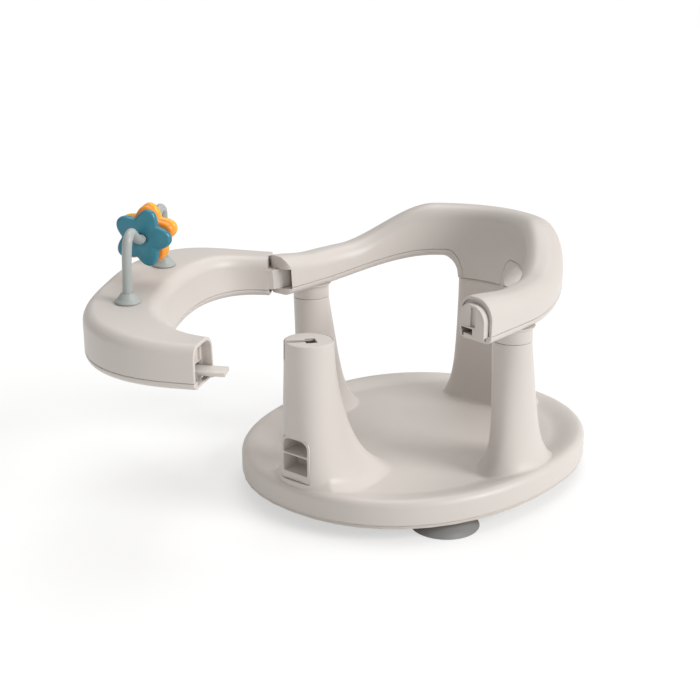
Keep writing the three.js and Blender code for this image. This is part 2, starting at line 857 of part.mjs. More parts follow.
// The fork's nose in plan: a flat front, a round inner corner and an outer side cut back for the open tray's end.
function noseShape(back) {
  const half = ringWidth / 2;
  const side = half + cutOverrun;
  const shoulder = noseCornerLength - noseReach;
  const stop = -Math.PI / 2 - radians(openAngle);
  const touching = new THREE.Vector2(Math.cos(stop), Math.sin(stop)).multiplyScalar(noseReach);
  const shape = new THREE.Shape();
  shape.moveTo(side, back);
  shape.lineTo(side, shoulder);
  shape.lineTo(half, shoulder);
  shape.absellipse(half - noseCornerWidth, shoulder, noseCornerWidth, noseCornerLength, 0, -Math.PI / 2, true);
  shape.absarc(0, 0, noseReach, -Math.PI / 2, stop, true);
  shape.lineTo(touching.x + Math.sin(stop) * side, touching.y - Math.cos(stop) * side);
  shape.lineTo(-back, back);
  return shape;
}

// Everything in front of the fork's nose on the left arm.
function forkTrim() {
  const reach = ringWidth;
  const nose = prism(noseShape(reach), -reach - cutOverrun, reach + cutOverrun);
  return hingeSolid(box(-reach, reach, -reach, ringWidth / 2, -reach, reach).subtract(nose));
}

// The room between the fork's plates for the tray's knuckle, from closed to open.
function forkSlot() {
  const reach = ringWidth;
  const radius = knuckleRadius + slideGap;
  const inner = touch(knuckleInner, knuckleRadius, 1).setLength(radius);
  const turn = -radians(openAngle);
  const outer = touch(knuckleOuter, knuckleRadius, -1).rotateAround(new THREE.Vector2(), turn).setLength(radius);
  const low = knuckleBottom - fitGap;
  const high = knuckleTop + fitGap;
  const innerEnd = inner.clone().add(new THREE.Vector2(inner.y, -inner.x).setLength(reach));
  const outerEnd = outer.clone().add(new THREE.Vector2(-outer.y, outer.x).setLength(reach));
  const mouth = prism([inner, innerEnd, new THREE.Vector2(-reach, -reach), outerEnd, outer], low, high);
  return hingeSolid(mouth.add(rod(radius, 0, 0, low, high, hingeSteps)));
}

// Room above a cover's seam where a solid end of the shell stands, so the cover has no lip there.
function lipRoom(side, seam, minY, maxY) {
  const outerX = side * (ringInnerHalfWidth + ringWidth + cutOverrun);
  const innerX = side * (ringInnerHalfWidth - cutOverrun);
  return box(
    Math.min(outerX, innerX),
    Math.max(outerX, innerX),
    minY,
    maxY,
    seam - fitGap,
    seam + coverLip + cutOverrun,
  );
}

function forkBlock(sectionAt) {
  const stations = [forkBack, forkEndY].map((y) => armStation(-1, y));
  return sweep(stations, sectionAt, ringCrown);
}

function hingeBore() {
  return hingeSolid(rod(hingePinRadius + fitGap, 0, 0, hingePinBottom - fitGap, hingePinTop + fitGap, smallRoundSteps * 2));
}

const ringScrewDegrees = [11, 46, 134, 169];
const trayScrewDegrees = [205, 240, 300, 335];

// Screw seats: the middle of a station in plan, with the height of the head's seat in the cover.
function screwSeats(stations) {
  return stations.map((station) => {
    const place = station.inner.clone().lerp(station.outer, 0.5);
    return { x: place.x, y: place.y, z: station.bottom + coverWall * 1.6, seam: station.seam, top: station.top };
  });
}

const ringScrewSeats = () => screwSeats(ringScrewDegrees.map(ringStation));
const trayScrewSeats = () => screwSeats(trayScrewDegrees.map(trayStation));

// Bosses inside a shell, which start above the cover's own bosses.
function shellBosses(seats) {
  return seats.map(({ x, y, z, seam, top }) =>
    rod(screwBossRadius, x, y, Math.max(seam, z + coverWall + fitGap), top - wall + fitGap, smallRoundSteps),
  );
}

function coverBosses(seats) {
  return seats.map(({ x, y, z }) =>
    rod(screwHeadRadius + coverWall, x, y, z - coverWall, z + coverWall, smallRoundSteps),
  );
}

function seatHoles(seats) {
  return seats.map(({ x, y, z }) => screwHole(x, y, z));
}

function ringTopShell() {
  const shell = sweep(ringStations(), shellSection, ringCrown);
  const fork = forkBlock(solidSection);
  const solid = joined([shell, fork, ...shellBosses(ringScrewSeats())]);
  return without(solid, [forkTrim(), forkSlot(), hingeBore(), ...seatHoles(ringScrewSeats())]);
}

function ringBottomCover() {
  const cover = sweep(ringStations(), coverSection, ringCrown);
  const collars = [sidePostX, -sidePostX].map((x) =>
    solidOf(
      skin(
        movedRings(
          [
            sidePostRing(sidePostTop + fitGap, 0, 0),
            sidePostRing(ringBottom - wall, 0, 0),
            sidePostRing(ringBottom + coverWall / 2, 0, -fitGap * 2),
          ],
          x,
        ),
      ),
    ),
  );
  const fork = forkBlock((width, station, crown) => {
    const lip = coverSection(width, station, crown);
    return lip.slice(0, lip.length - 8);
  });
  const bore = spigots(spigotInset - fitGap, sidePostTop - cutOverrun, sidePostTop + spigotHeight + fitGap);
  const room = [
    lipRoom(-1, ringBottom + ringSeamRise, forkEndY - cutOverrun, forkBack + slideGap),
    latchRoom(ringEndY - endSkew - cutOverrun, latchTipY + wall * 2, ringBottom + coverWall, receiverSlotTop + wall),
  ];
  const solid = joined([cover, ...collars, fork, ...coverBosses(ringScrewSeats())]);
  return without(solid, [forkTrim(), forkSlot(), hingeBore(), ...room, ...bore, ...seatHoles(ringScrewSeats())]);
}

const plugFrontY = ringEndY - wall;

function insetCrown(crown, inset) {
  return { inner: crown.inner - inset, outer: crown.outer - inset, edge: receiverEdgeRadius };
}

function receiverBlock(inset, frontY, backY, bottom, top) {
  const stations = [frontY, backY].map((y) => {
    const arm = armStation(1, ringEndY);
    return {
      inner: new THREE.Vector2(arm.inner.x + inset, y),
      outer: new THREE.Vector2(arm.outer.x - inset, y - endSkew),
      bottom,
      seam: arm.seam,
      top,
      lean: trayEndLean,
    };
  });
  return sweep(stations, fullSection, insetCrown(ringCrown, inset));
}

// The way of the latch's tongue into the right arm.
function latchRoom(frontY, backY, bottom, top) {
  const half = latchWidth / 2 + latchOpenSideGap;
  return box(latchX - half, latchX + half, frontY, backY, bottom, top);
}

// The receiver plugs the right arm's end, stands into the tray's end and carries the slot for the latch.
function latchReceiver() {
  const nose = ringEndY - receiverNose;
  const plugInset = coverLipInset + coverWall + fitGap;
  const noseInset = wall + slideGap * 1.5;
  const armTop = armCrest + armEndRise;
  const plugBottom = ringBottom + coverWall + fitGap;
  const plug = receiverBlock(plugInset, plugFrontY, receiverBack, plugBottom, armTop - plugInset);
  const cheekBottom = trayBottom + traySeamRise + fitGap;
  const cheek = receiverBlock(noseInset, nose, ringEndY - fitGap, cheekBottom, trayEndCrest - noseInset);
  const front = nose - endSkew - cutOverrun;
  const slot = latchRoom(front, receiverBack + cutOverrun, receiverSlotBottom, receiverSlotTop);
  const hookBottom = receiverSlotBottom - latchHookDrop - fitGap;
  const hookRoom = latchRoom(plugFrontY + wall, latchTipY + wall * 2, hookBottom, receiverSlotTop + wall);
  const grooveX = latchX - latchWidth / 2 + receiverGrooveWidth;
  const grooveBottom = receiverSlotTop + wall;
  const grooveTop = trayEndCrest - innerCrownRadius;
  const deep = box(
    grooveX - receiverGrooveWidth,
    grooveX,
    front,
    nose + receiverGrooveDepth,
    grooveBottom,
    grooveTop,
  );
  const shallow = box(
    grooveX + wall / 2,
    grooveX + receiverGrooveWidth + wall / 2,
    front,
    nose,
    grooveBottom,
    grooveTop,
  );
  return without(plug.add(cheek), [slot, hookRoom, deep, shallow]);
}

// Tray, drawn closed

const trayCrown = { inner: trayInnerCrown, outer: trayOuterCrown, edge: trayEdgeRadius };

function trayStation(degrees) {
  const angle = radians(degrees);
  const cos = Math.cos(angle);
  const sin = Math.sin(angle);
  const front = smooth(-sin * 1.4);
  return {
    inner: new THREE.Vector2(
      trayInnerHalfWidth * power(cos, 2 / trayInnerPower),
      trayInnerCentreY + trayInnerDepth * power(sin, 2 / trayInnerPower),
    ),
    outer: new THREE.Vector2(
      trayOuterHalfWidth * power(cos, 2 / trayOuterPower),
      trayOuterCentreY + trayOuterDepth * power(sin, 2 / trayOuterPower),
    ),
    bottom: trayBottom,
    seam: trayBottom + traySeamRise,
    top: trayEndCrest + trayCrestRise * front,
    lean: trayEndLean + (trayInnerLean - trayEndLean) * front,
  };
}

function trayEndStation(side, y) {
  return {
    inner: new THREE.Vector2(side * trayInnerHalfWidth, y),
    outer: new THREE.Vector2(side * trayOuterHalfWidth, side > 0 ? y - endSkew : y),
    bottom: trayBottom,
    seam: trayBottom + traySeamRise,
    top: trayEndCrest,
    lean: trayEndLean,
  };
}

const traySteps = [188, 196, 204, 212, 220, 228, 236, 244, 252, 261, 270];
const freeEndY = ringEndY - slideGap;
const hingeEndY = hingeY - noseReach - slideGap * 1.5;

function trayStations() {
  const left = [trayEndStation(-1, hingeEndY + wall), trayEndStation(-1, trayInnerCentreY - wall)];
  const right = [trayEndStation(1, freeEndY)];
  const angles = [...traySteps, ...traySteps.slice(0, -1).reverse().map((degrees) => 540 - degrees)];
  return [...left, ...angles.map(trayStation), ...right];
}

// The tray's hinge end is flat, square to the hinge's frame, and closed by a wall that carries the knuckle.
function trayEndCut() {
  const reach = ringWidth;
  return hingeSolid(box(-reach, reach, hingeEndY - hingeY, reach, -reach, reach));
}

function trayEndWall(sectionAt) {
  const stations = [hingeEndY + wall, hingeEndY - wall * 2].map((y) => trayEndStation(-1, y));
  return sweep(stations, sectionAt, trayCrown);
}

// A barrel about the pin and a web whose sides run from the tray's end to touch it.
function trayKnuckle() {
  const back = hingeEndY - hingeY - wall;
  const web = [
    new THREE.Vector2(knuckleInner.x, back),
    knuckleInner,
    touch(knuckleInner, knuckleRadius, 1),
    touch(knuckleOuter, knuckleRadius, -1),
    knuckleOuter,
    new THREE.Vector2(knuckleOuter.x, back),
  ];
  const round = rod(knuckleRadius, 0, 0, knuckleBottom, knuckleTop, hingeSteps);
  return hingeSolid(round.add(prism(web, knuckleBottom, knuckleTop)));
}

function trayFreeEndWall(sectionAt) {
  const stations = [freeEndY - trayEndRecess - wall, freeEndY - trayEndRecess].map((y) => trayEndStation(1, y));
  return sweep(stations, sectionAt, trayCrown);
}

function latchWindow() {
  const half = latchWidth / 2 + latchOpenSideGap;
  return box(
    latchX - half,
    latchX + half,
    freeEndY - trayEndRecess - wall - cutOverrun,
    freeEndY + cutOverrun,
    trayBottom + coverWall + fitGap,
    receiverSlotTop + latchHookDrop,
  );
}

function toySocket(x) {
  return rod(toyBarRadius + fitGap, x, toyFootY, trayEndCrest - toySocketDepth * 2, trayEndCrest + trayCrestRise + cutOverrun, roundSteps);
}

function trayTopShell() {
  const shell = sweep(trayStations(), shellSection, trayCrown);
  const hingeEnd = trayEndWall(solidSection);
  const freeEnd = trayFreeEndWall(solidSection);
  const body = without(joined([shell, hingeEnd, freeEnd]), [trayEndCut(), latchWindow()]);
  const solid = joined([body, trayKnuckle(), ...shellBosses(trayScrewSeats())]);
  return without(solid, [hingeBore(), toySocket(toyFootX), toySocket(-toyFootX), ...seatHoles(trayScrewSeats())]);
}

function trayBottomCover() {
  const cover = sweep(trayStations(), coverSection, trayCrown);
  const half = latchWidth / 2 + latchOpenSideGap;
  const tabHole = box(
    latchX - half,
    latchX + half,
    latchTabY - latchTabDepth - latchOpenSideGap,
    latchTabY + latchTabDepth + latchTabRoom,
    trayBottom - cutOverrun,
    trayBottom + cutOverrun,
  );
  const brackets = [-1, 1].map((side) => {
    const x = latchX + side * (half + coverWall / 2);
    return box(
      x - coverWall / 2,
      x + coverWall / 2,
      latchPivotY - latchHubRadius - wall,
      latchPivotY + latchHubRadius,
      trayBottom + coverWall / 2,
      latchPinZ + latchHubRadius,
    );
  });
  const pinHole = rodAlongX(latchPinRadius + fitGap, latchX - ringWidth / 2, latchX + ringWidth / 2, latchPivotY, latchPinZ);
  return without(joined([cover, ...brackets, ...coverBosses(trayScrewSeats())]), [
    ...seatHoles(trayScrewSeats()),
    trayEndCut(),
    keyHole(),
    lipRoom(-1, trayBottom + traySeamRise, hingeEndY - wall * 3, hingeY),
    lipRoom(1, trayBottom + traySeamRise, freeEndY - trayEndRecess - wall - endSkew - slideGap, freeEndY + cutOverrun),
    tabHole,
    latchWindow(),
    pinHole,
  ]);
}

// The key stands down through a hole in the tray's floor and hangs in it by its flange.
function keyHole() {
  const from = keyDegrees - keyHalfSweep - keyHoleSweepGap;
  const to = keyDegrees + keyHalfSweep + keyHoleSweepGap;
  const width = keyStemWidth + slideGap * 2;
  const low = trayBottom - cutOverrun;
  const high = trayBottom + cutOverrun;
  return hingeBand(keyRadius, width, from, to, low, high, levelMatrix);
}

function dockingKey() {
  const from = keyDegrees - keyHalfSweep;
  const to = keyDegrees + keyHalfSweep;
  const flangeBottom = trayBottom + coverWall + fitGap;
  const flangeTop = flangeBottom + wall;
  const flange = hingeBand(keyRadius, keyHeadWidth, from, to, flangeBottom, flangeTop, levelMatrix);
  const stemTop = keyTop + coverWall + wall;
  const stem = hingeBand(keyRadius, keyStemWidth, from, to, keyBottom + keyHeadHeight / 2, stemTop);
  const head = hingeBand(keyRadius, keyHeadWidth, from, to, keyBottom, keyBottom + keyHeadHeight);
  return joined([flange, stem, head]);
}

// Latch lever: a tongue with a hook, a hub on a pin and a finger tab under the tray

const latchPinZ = latchTongueBottom + latchTongueThickness / 2;

function latchLever() {
  const half = latchWidth / 2;
  const tongue = box(
    latchX - half,
    latchX + half,
    latchPivotY,
    latchTipY,
    latchTongueBottom,
    latchTongueBottom + latchTongueThickness,
  );
  const hub = rodAlongX(latchHubRadius, latchX - half, latchX + half, latchPivotY, latchPinZ, roundSteps);
  const hookBack = plugFrontY + wall + slideGap;
  const hook = wedge(hookBack, hookBack + latchHookLength, latchTongueBottom, latchHookDrop);
  const tab = box(
    latchX - half,
    latchX + half,
    latchTabY - latchTabDepth,
    latchTabY + latchTabDepth,
    trayBottom - latchTabDrop,
    latchTongueBottom + latchTongueThickness / 2,
  );
  const tail = box(
    latchX - half / 2,
    latchX + half / 2,
    latchPivotY - latchTail,
    latchPivotY,
    latchTongueBottom,
    latchTongueBottom + latchTongueThickness,
  );
  const bore = rodAlongX(latchPinRadius + fitGap, latchX - latchWidth, latchX + latchWidth, latchPivotY, latchPinZ);
  return without(joined([tongue, hub, hook, tab, tail]), [bore]);
}

function latchPin() {
  const half = latchWidth / 2 + latchOpenSideGap + coverWall;
  return rodAlongX(latchPinRadius, latchX - half, latchX + half, latchPivotY, latchPinZ);
}

// A leaf spring: a strip folded back on itself between the cover's floor and the lever's tail.
function latchSpring() {
  const low = trayBottom + coverWall + fitGap;
  const high = latchTongueBottom - fitGap;
  const back = latchPivotY - latchTail * 2;
  const front = latchPivotY - latchTail * 0.4;
  const shape = new THREE.Shape();
  shape.moveTo(front - latchTail / 2, low);
  shape.lineTo(back, low);
  shape.lineTo(back, low + springThickness * 2);
  shape.lineTo(front - latchTail / 2, high);
  shape.lineTo(front - latchTail / 2, high - springThickness);
  shape.lineTo(back + springThickness * 2, low + springThickness);
  shape.lineTo(front - latchTail / 2, low + springThickness);
  const geometry = new THREE.ExtrudeGeometry(shape, { depth: springWidth, bevelEnabled: false });
  geometry.rotateZ(Math.PI / 2);
  geometry.rotateY(Math.PI / 2);
  geometry.translate(latchX - springWidth / 2, 0, 0);
  return solidOf(geometry);
}

// A hook with a square back and a sloping lead.
function wedge(backY, frontY, top, drop) {
  const half = latchWidth / 2;
  const shape = new THREE.Shape();
  shape.moveTo(backY, top - drop);
  shape.lineTo(frontY, top);
  shape.lineTo(frontY, top + drop);
  shape.lineTo(backY, top + drop);
  const geometry = new THREE.ExtrudeGeometry(shape, { depth: half * 2, bevelEnabled: false });
  geometry.rotateZ(Math.PI / 2);
  geometry.rotateY(Math.PI / 2);
  geometry.translate(latchX - half, 0, 0);
  return solidOf(geometry);
}

// Toy bar, feet and flowers

const toyFootZ = trayEndCrest + trayCrestRise;

// How far the bar leans towards the child at a height above its feet.
function barLean(z) {
  return (toyBarLean * Math.max(z - toyFootHeight, 0)) / (toyBarBendHeight - toyFootHeight);
}

class ToyBarPath extends THREE.Curve {
  constructor() {
    super();
    const leg = [
      [toyFootX, -toySocketDepth],
      [toyFootX, toyFootHeight / 2],
      [toyFootX, toyFootHeight],
      [toyFootX, toyBarLegTop / 2],
      [toyFootX, toyBarLegTop],
      [toyBarBendX + (toyFootX - toyBarBendX) * 0.75, toyBarBendHeight - (toyBarBendHeight - toyBarLegTop) / 4],
      [toyBarBendX, toyBarBendHeight],
      [(toyBarBendX + toyBarFlatX) / 2, toyBarBendHeight - toyBarDip * 0.55],
      [toyBarFlatX, toyBarBendHeight - toyBarDip],
      [toyBarFlatX / 3, toyBarBendHeight - toyBarDip],
    ];
    const mirrored = [...leg].reverse().map(([x, z]) => [-x, z]);
    const points = [...leg, ...mirrored].map(([x, z]) => {
      return new THREE.Vector3(x, toyFootY + barLean(z), toyFootZ + fitGap + z);
    });
    this.path = new THREE.CatmullRomCurve3(points, false, "centripetal");
  }

  getPoint(share, target = new THREE.Vector3()) {
    return this.path.getPoint(share, target);
  }
}

function toyBar() {
  const shape = new THREE.Shape();
  shape.absarc(0, 0, toyBarRadius, 0, Math.PI * 2, false);
  const geometry = new THREE.ExtrudeGeometry(shape, {
    steps: 42,
    curveSegments: 6,
    extrudePath: new ToyBarPath(),
    bevelEnabled: false,
  });
  return solidOf(geometry);
}

function toyFoot() {
  const bore = toyBarRadius + fitGap;
  const profile = [
    [bore, 0],
    [toyFootRadius, 0],
    [toyFootRadius, wall / 2],
    [toyFootRadius * 0.78, toyFootHeight * 0.45],
    [toyFootTopRadius, toyFootHeight],
    [bore, toyFootHeight],
    [bore, 0],
  ];
  return turned(profile, roundSteps);
}

function flowerShape() {
  const middle = (flowerTipRadius + flowerValleyRadius) / 2 - flowerEdge;
  const lobe = (flowerTipRadius - flowerValleyRadius) / 2;
  const shape = new THREE.Shape();
  const steps = 50;
  for (let step = 0; step < steps; step += 1) {
    const angle = (step / steps) * Math.PI * 2;
    const radius = middle + lobe * Math.cos(angle * 5);
    const [x, y] = [radius * Math.cos(angle), radius * Math.sin(angle)];
    if (step === 0) shape.moveTo(x, y);
    else shape.lineTo(x, y);
  }
  shape.closePath();
  return shape;
}

// A flower lies in the plane across the bar, with its thickness along X.
function flower() {
  const geometry = new THREE.ExtrudeGeometry(flowerShape(), {
    depth: flowerThickness - flowerEdge * 2,
    bevelThickness: flowerEdge,
    bevelSize: flowerEdge,
    bevelSegments: 2,
  });
  geometry.translate(0, 0, -flowerThickness / 2 + flowerEdge);
  const bore = rod(toyBarRadius + flowerBoreGap, 0, 0, -flowerThickness, flowerThickness, roundSteps);
  const solid = solidOf(geometry).subtract(bore);
  const turn = new THREE.Matrix4().makeRotationY(Math.PI / 2);
  return solid.transform(turn.elements);
}

function hingePin() {
  return hingeSolid(rod(hingePinRadius, 0, 0, hingePinBottom, hingePinTop, smallRoundSteps * 2));
}

// Materials

function material(color, roughness, metalness = 0) {
  return new THREE.MeshStandardMaterial({ color, roughness, metalness });
}

const shellPlastic = () => material(0xded6ce, 0.35);
const underPlastic = () => material(0xd2cac2, 0.4);
const cupRubber = () => material(0x77787a, 0.3);
const greyPlastic = () => material(0xa3aaa9, 0.45);
const steel = () => material(0xb8babc, 0.3, 1);

function mesh(name, solid, paint) {
  const made = new THREE.Mesh(geometryOf(solid), paint());
  made.name = name;
  return made;
}

function screwMesh(name, x, y, z) {
  const made = mesh(name, screw(), steel);
  made.position.set(x, y, z);
  return made;
}

// The assembly

function baseGroup() {
  const group = new THREE.Group();
  group.add(mesh("base_shell", baseShell(), shellPlastic));
  group.add(mesh("base_bottom_plate", basePlate(), underPlastic));
  const names = ["front_left", "front_right", "rear_left", "rear_right"];
  cupPlaces().forEach(([x, y], step) => {
    const cup = mesh(`suction_cup_${names[step]}`, suctionCup(), cupRubber);
    cup.position.set(x, y, 0);
    group.add(cup);
  });
  baseScrewPlaces().forEach(([x, y], step) => {
    group.add(screwMesh(`base_screw_${step + 1}`, x, y, basePlateThickness / 2));
  });
  group.add(mesh("front_post_cap", frontPostCap(), shellPlastic));
  group.add(mesh("front_pocket", frontPocket(), shellPlastic));
  return group;
}

function ringGroup() {
  const group = new THREE.Group();
  group.add(mesh("ring_top_shell", ringTopShell(), shellPlastic));
  group.add(mesh("ring_bottom_cover", ringBottomCover(), shellPlastic));
  group.add(mesh("latch_receiver", latchReceiver(), shellPlastic));
  group.add(mesh("hinge_pin", hingePin(), steel));
  ringScrewSeats().forEach(({ x, y, z }, step) => group.add(screwMesh(`ring_screw_${step + 1}`, x, y, z)));
  return group;
}

function trayGroup() {
  const group = new THREE.Group();
  group.add(mesh("tray_top_shell", trayTopShell(), shellPlastic));
  group.add(mesh("tray_bottom_cover", trayBottomCover(), shellPlastic));
  group.add(mesh("docking_key", dockingKey(), shellPlastic));
  group.add(mesh("latch_lever", latchLever(), shellPlastic));
  group.add(mesh("latch_pin", latchPin(), steel));
  group.add(mesh("latch_spring", latchSpring(), steel));
  trayScrewSeats().forEach(({ x, y, z }, step) => group.add(screwMesh(`tray_screw_${step + 1}`, x, y, z)));
  group.add(mesh("toy_bar", toyBar(), greyPlastic));
  for (const [name, side] of [["toy_foot_left", 1], ["toy_foot_right", -1]]) {
    const foot = mesh(name, toyFoot(), greyPlastic);
    foot.position.set(side * toyFootX, toyFootY, toyFootZ + fitGap);
    group.add(foot);
  }
  const colours = [
    ["flower_teal", 0x2a7f8c, flowerSpacing, 0],
    ["flower_orange", 0xf29339, 0, flowerTurn],
    ["flower_yellow", 0xf2ba43, -flowerSpacing, flowerTurn],
  ];
  const height = toyBarBendHeight - toyBarDip;
  for (const [name, colour, x, degrees] of colours) {
    const petals = mesh(name, flower(), () => material(colour, 0.35));
    petals.rotation.x = Math.PI / 2 + radians(degrees);
    petals.position.set(x, toyFootY + barLean(height), toyFootZ + fitGap + height);
    group.add(petals);
  }
  const turn = new THREE.Quaternion().setFromAxisAngle(hingeAxis, -radians(openAngle));
  group.quaternion.copy(turn);
  group.position.copy(hingePoint).sub(hingePoint.clone().applyQuaternion(turn));
  return group;
}

const bathSeat = new THREE.Group();
bathSeat.name = "baby_bath_seat";
bathSeat.add(baseGroup(), ringGroup(), trayGroup());

export default bathSeat;
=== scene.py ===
"""A baby bath seat: fine shells, posts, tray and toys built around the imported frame."""

import json
import math

import bmesh
import bpy
import numpy as np
from mathutils import Matrix, Vector


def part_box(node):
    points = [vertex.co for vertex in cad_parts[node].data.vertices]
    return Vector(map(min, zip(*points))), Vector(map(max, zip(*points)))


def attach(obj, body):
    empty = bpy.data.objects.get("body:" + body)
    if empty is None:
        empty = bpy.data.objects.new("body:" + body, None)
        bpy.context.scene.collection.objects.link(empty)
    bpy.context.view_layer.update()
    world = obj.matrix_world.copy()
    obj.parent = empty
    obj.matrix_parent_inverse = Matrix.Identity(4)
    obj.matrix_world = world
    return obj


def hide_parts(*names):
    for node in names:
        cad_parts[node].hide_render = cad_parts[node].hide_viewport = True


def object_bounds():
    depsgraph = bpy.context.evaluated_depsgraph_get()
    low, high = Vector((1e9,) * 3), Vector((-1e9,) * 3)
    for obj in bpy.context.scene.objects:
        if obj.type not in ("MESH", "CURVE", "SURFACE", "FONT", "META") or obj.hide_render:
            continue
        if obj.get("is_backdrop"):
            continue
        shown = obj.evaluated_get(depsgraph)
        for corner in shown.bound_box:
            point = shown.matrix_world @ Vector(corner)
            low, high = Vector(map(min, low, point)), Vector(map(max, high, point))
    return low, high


bl_info = {
    "name": "Baby bath seat",
    "version": (1, 0, 0),
    "blender": (4, 5, 0),
    "location": "3D View > Sidebar > Bath seat",
    "description": "Builds the fine pieces, finishes and studio of a baby bath seat",
    "category": "Object",
}

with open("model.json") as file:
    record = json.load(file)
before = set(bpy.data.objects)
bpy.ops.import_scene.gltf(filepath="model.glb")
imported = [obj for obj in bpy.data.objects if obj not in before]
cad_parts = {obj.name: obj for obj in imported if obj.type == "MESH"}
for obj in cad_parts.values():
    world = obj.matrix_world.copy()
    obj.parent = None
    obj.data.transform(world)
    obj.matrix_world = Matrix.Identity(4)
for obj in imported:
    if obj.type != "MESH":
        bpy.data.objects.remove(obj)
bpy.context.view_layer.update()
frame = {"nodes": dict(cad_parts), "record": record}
BEHAVIOUR = frame["record"]["behaviour"]
BODIES = {node: body for body, nodes in BEHAVIOUR["bodies"].items() for node in nodes}
SLOTS = {part["node"]: part["material_slot"] for part in frame["record"]["subparts"]}
SWING = next(joint for joint in BEHAVIOUR["joints"] if joint["name"] == "tray_swing")

# Walls, gaps and edges that all pieces share
WALL = 0.003
COVER_WALL = 0.0025
FIT_GAP = 0.0003
SLIDE_GAP = 0.0006
OVERRUN = 0.006
COVER_LIP = 0.003
EDGE_SOFTNESS = 0.0006
SMOOTH_DEGREES = 34
ROUND = 128

# The latch's room: its sides along X and the top of its opening
LATCH_LOW, LATCH_HIGH = 0.1115, 0.1295
LATCH_TOP = 0.186


# Sizes and colours that a user would change


def length(name, description, default):
    """A length in metres that a user can change."""
    return bpy.props.FloatProperty(
        name=name, description=description, default=default, unit="LENGTH", precision=4
    )


def angle(name, description, degrees):
    """An angle, given in degrees."""
    return bpy.props.FloatProperty(
        name=name, description=description, default=math.radians(degrees), subtype="ANGLE"
    )


def colour(name, description, default):
    """A linear colour."""
    return bpy.props.FloatVectorProperty(
        name=name, description=description, default=default, size=3, min=0, max=1, subtype="COLOR"
    )


class BathSeatColours(bpy.types.PropertyGroup):
    """Colours of the plastics, the vinyl and the metal"""

    shell: colour("Shell", "Colour of the posts, ring and tray", (0.575, 0.533, 0.500))
    under: colour("Underside", "Colour of the plate under the base", (0.52, 0.475, 0.43))
    cup: colour("Suction cups", "Colour of the smoky vinyl cups", (0.32, 0.32, 0.315))
    grey: colour("Toy bar", "Colour of the toy bar and its feet", (0.36, 0.385, 0.375))
    teal: colour("Teal flower", "Colour of the first flower", (0.028, 0.19, 0.26))
    orange: colour("Orange flower", "Colour of the middle flower", (0.90, 0.28, 0.025))
    yellow: colour("Yellow flower", "Colour of the last flower", (0.82, 0.41, 0.032))
    steel: colour("Steel", "Colour of the screws, pins and spring", (0.55, 0.56, 0.57))


class BathSeatBase(bpy.types.PropertyGroup):
    """Sizes of the base and its posts"""

    half_width: length("Half width", "Half of the base's width", 0.165)
    front_length: length("Front length", "From the widest line to the front edge", 0.209)
    rear_length: length("Rear length", "From the widest line to the rear edge", 0.179)
    widest: length("Widest line", "Where the base is widest, along Y", 0.015)
    top: length("Rim height", "Height of the rim", 0.027)
    bottom: length("Bottom", "Height of the shell's lower edge", 0.0033)
    edge: length("Edge radius", "Radius of the rim's outer edge", 0.007)
    dish: length("Dish", "How far the seat lies below the rim", 0.006)
    lip: length("Lip", "Half the width of the slope inside the rim", 0.014)
    front_post_y: length("Front post", "Place of the front post along Y", -0.167)
    front_post_radius: length("Front post radius", "Radius of the front post's top", 0.0236)
    front_post_top: length("Front post height", "Height of the front post", 0.1656)
    side_post_x: length("Side posts", "Place of the side posts along X", 0.128)
    side_post_y: length("Side posts, Y", "Place of the side posts' tops along Y", -0.0184)
    side_post_radius: length("Side post radius", "Radius of the side posts' tops", 0.0192)
    side_post_top: length("Side post height", "Height of the side posts", 0.1556)
    rear_inner: length("Rear post, inside", "Inner face of the rear post along Y", 0.1275)
    rear_outer: length("Rear post, outside", "Outer face of the rear post along Y", 0.1645)
    rear_half_width: length("Rear post half width", "Half width of the rear post's top", 0.0395)
    rear_top: length("Rear post height", "Height of the rear post", 0.1625)
    foot: length("Front foot radius", "Radius of the curve between the front post and the seat", 0.016)
    side_foot: length("Foot radius", "Radius of the curve between the other posts and the seat", 0.005)


class BathSeatRing(bpy.types.PropertyGroup):
    """Sizes of the ring round the child"""

    inner_half_width: length("Inner half width", "Half width inside the ring", 0.1078)
    width: length("Arm width", "Width of an arm", 0.040)
    inner_depth: length("Inner depth", "From the ring's middle to the inside of its back", 0.147)
    outer_depth: length("Outer depth", "From the ring's middle to the outside of its back", 0.185)
    centre: length("Middle", "Place of the ring's middle along Y", -0.020)
    end: length("Arm end", "Place of the right arm's end along Y", -0.080)
    skew: length("End skew", "How much further the end's outer corner reaches", 0.007)
    bottom: length("Underside", "Height of the ring's underside", 0.170)
    seam: length("Seam", "Height of the seam above the underside", 0.008)
    crest: length("Arm height", "Height of the arms' tops", 0.2055)
    end_rise: length("End rise", "How much the arms rise to their ends", 0.0055)
    shoulder: length("Shoulder rise", "How much the arms rise to the shoulders", 0.006)
    back: length("Back rise", "How much the back stands above the shoulders", 0.0335)
    arch: length("Arch", "How much the underside rises behind the arms", 0.018)
    inner_crown: length("Inner crown", "Radius of the inner top edge", 0.015)
    outer_crown: length("Outer crown", "Radius of the outer top edge", 0.019)
    edge: length("Lower edge", "Radius of the lower edges", 0.007)


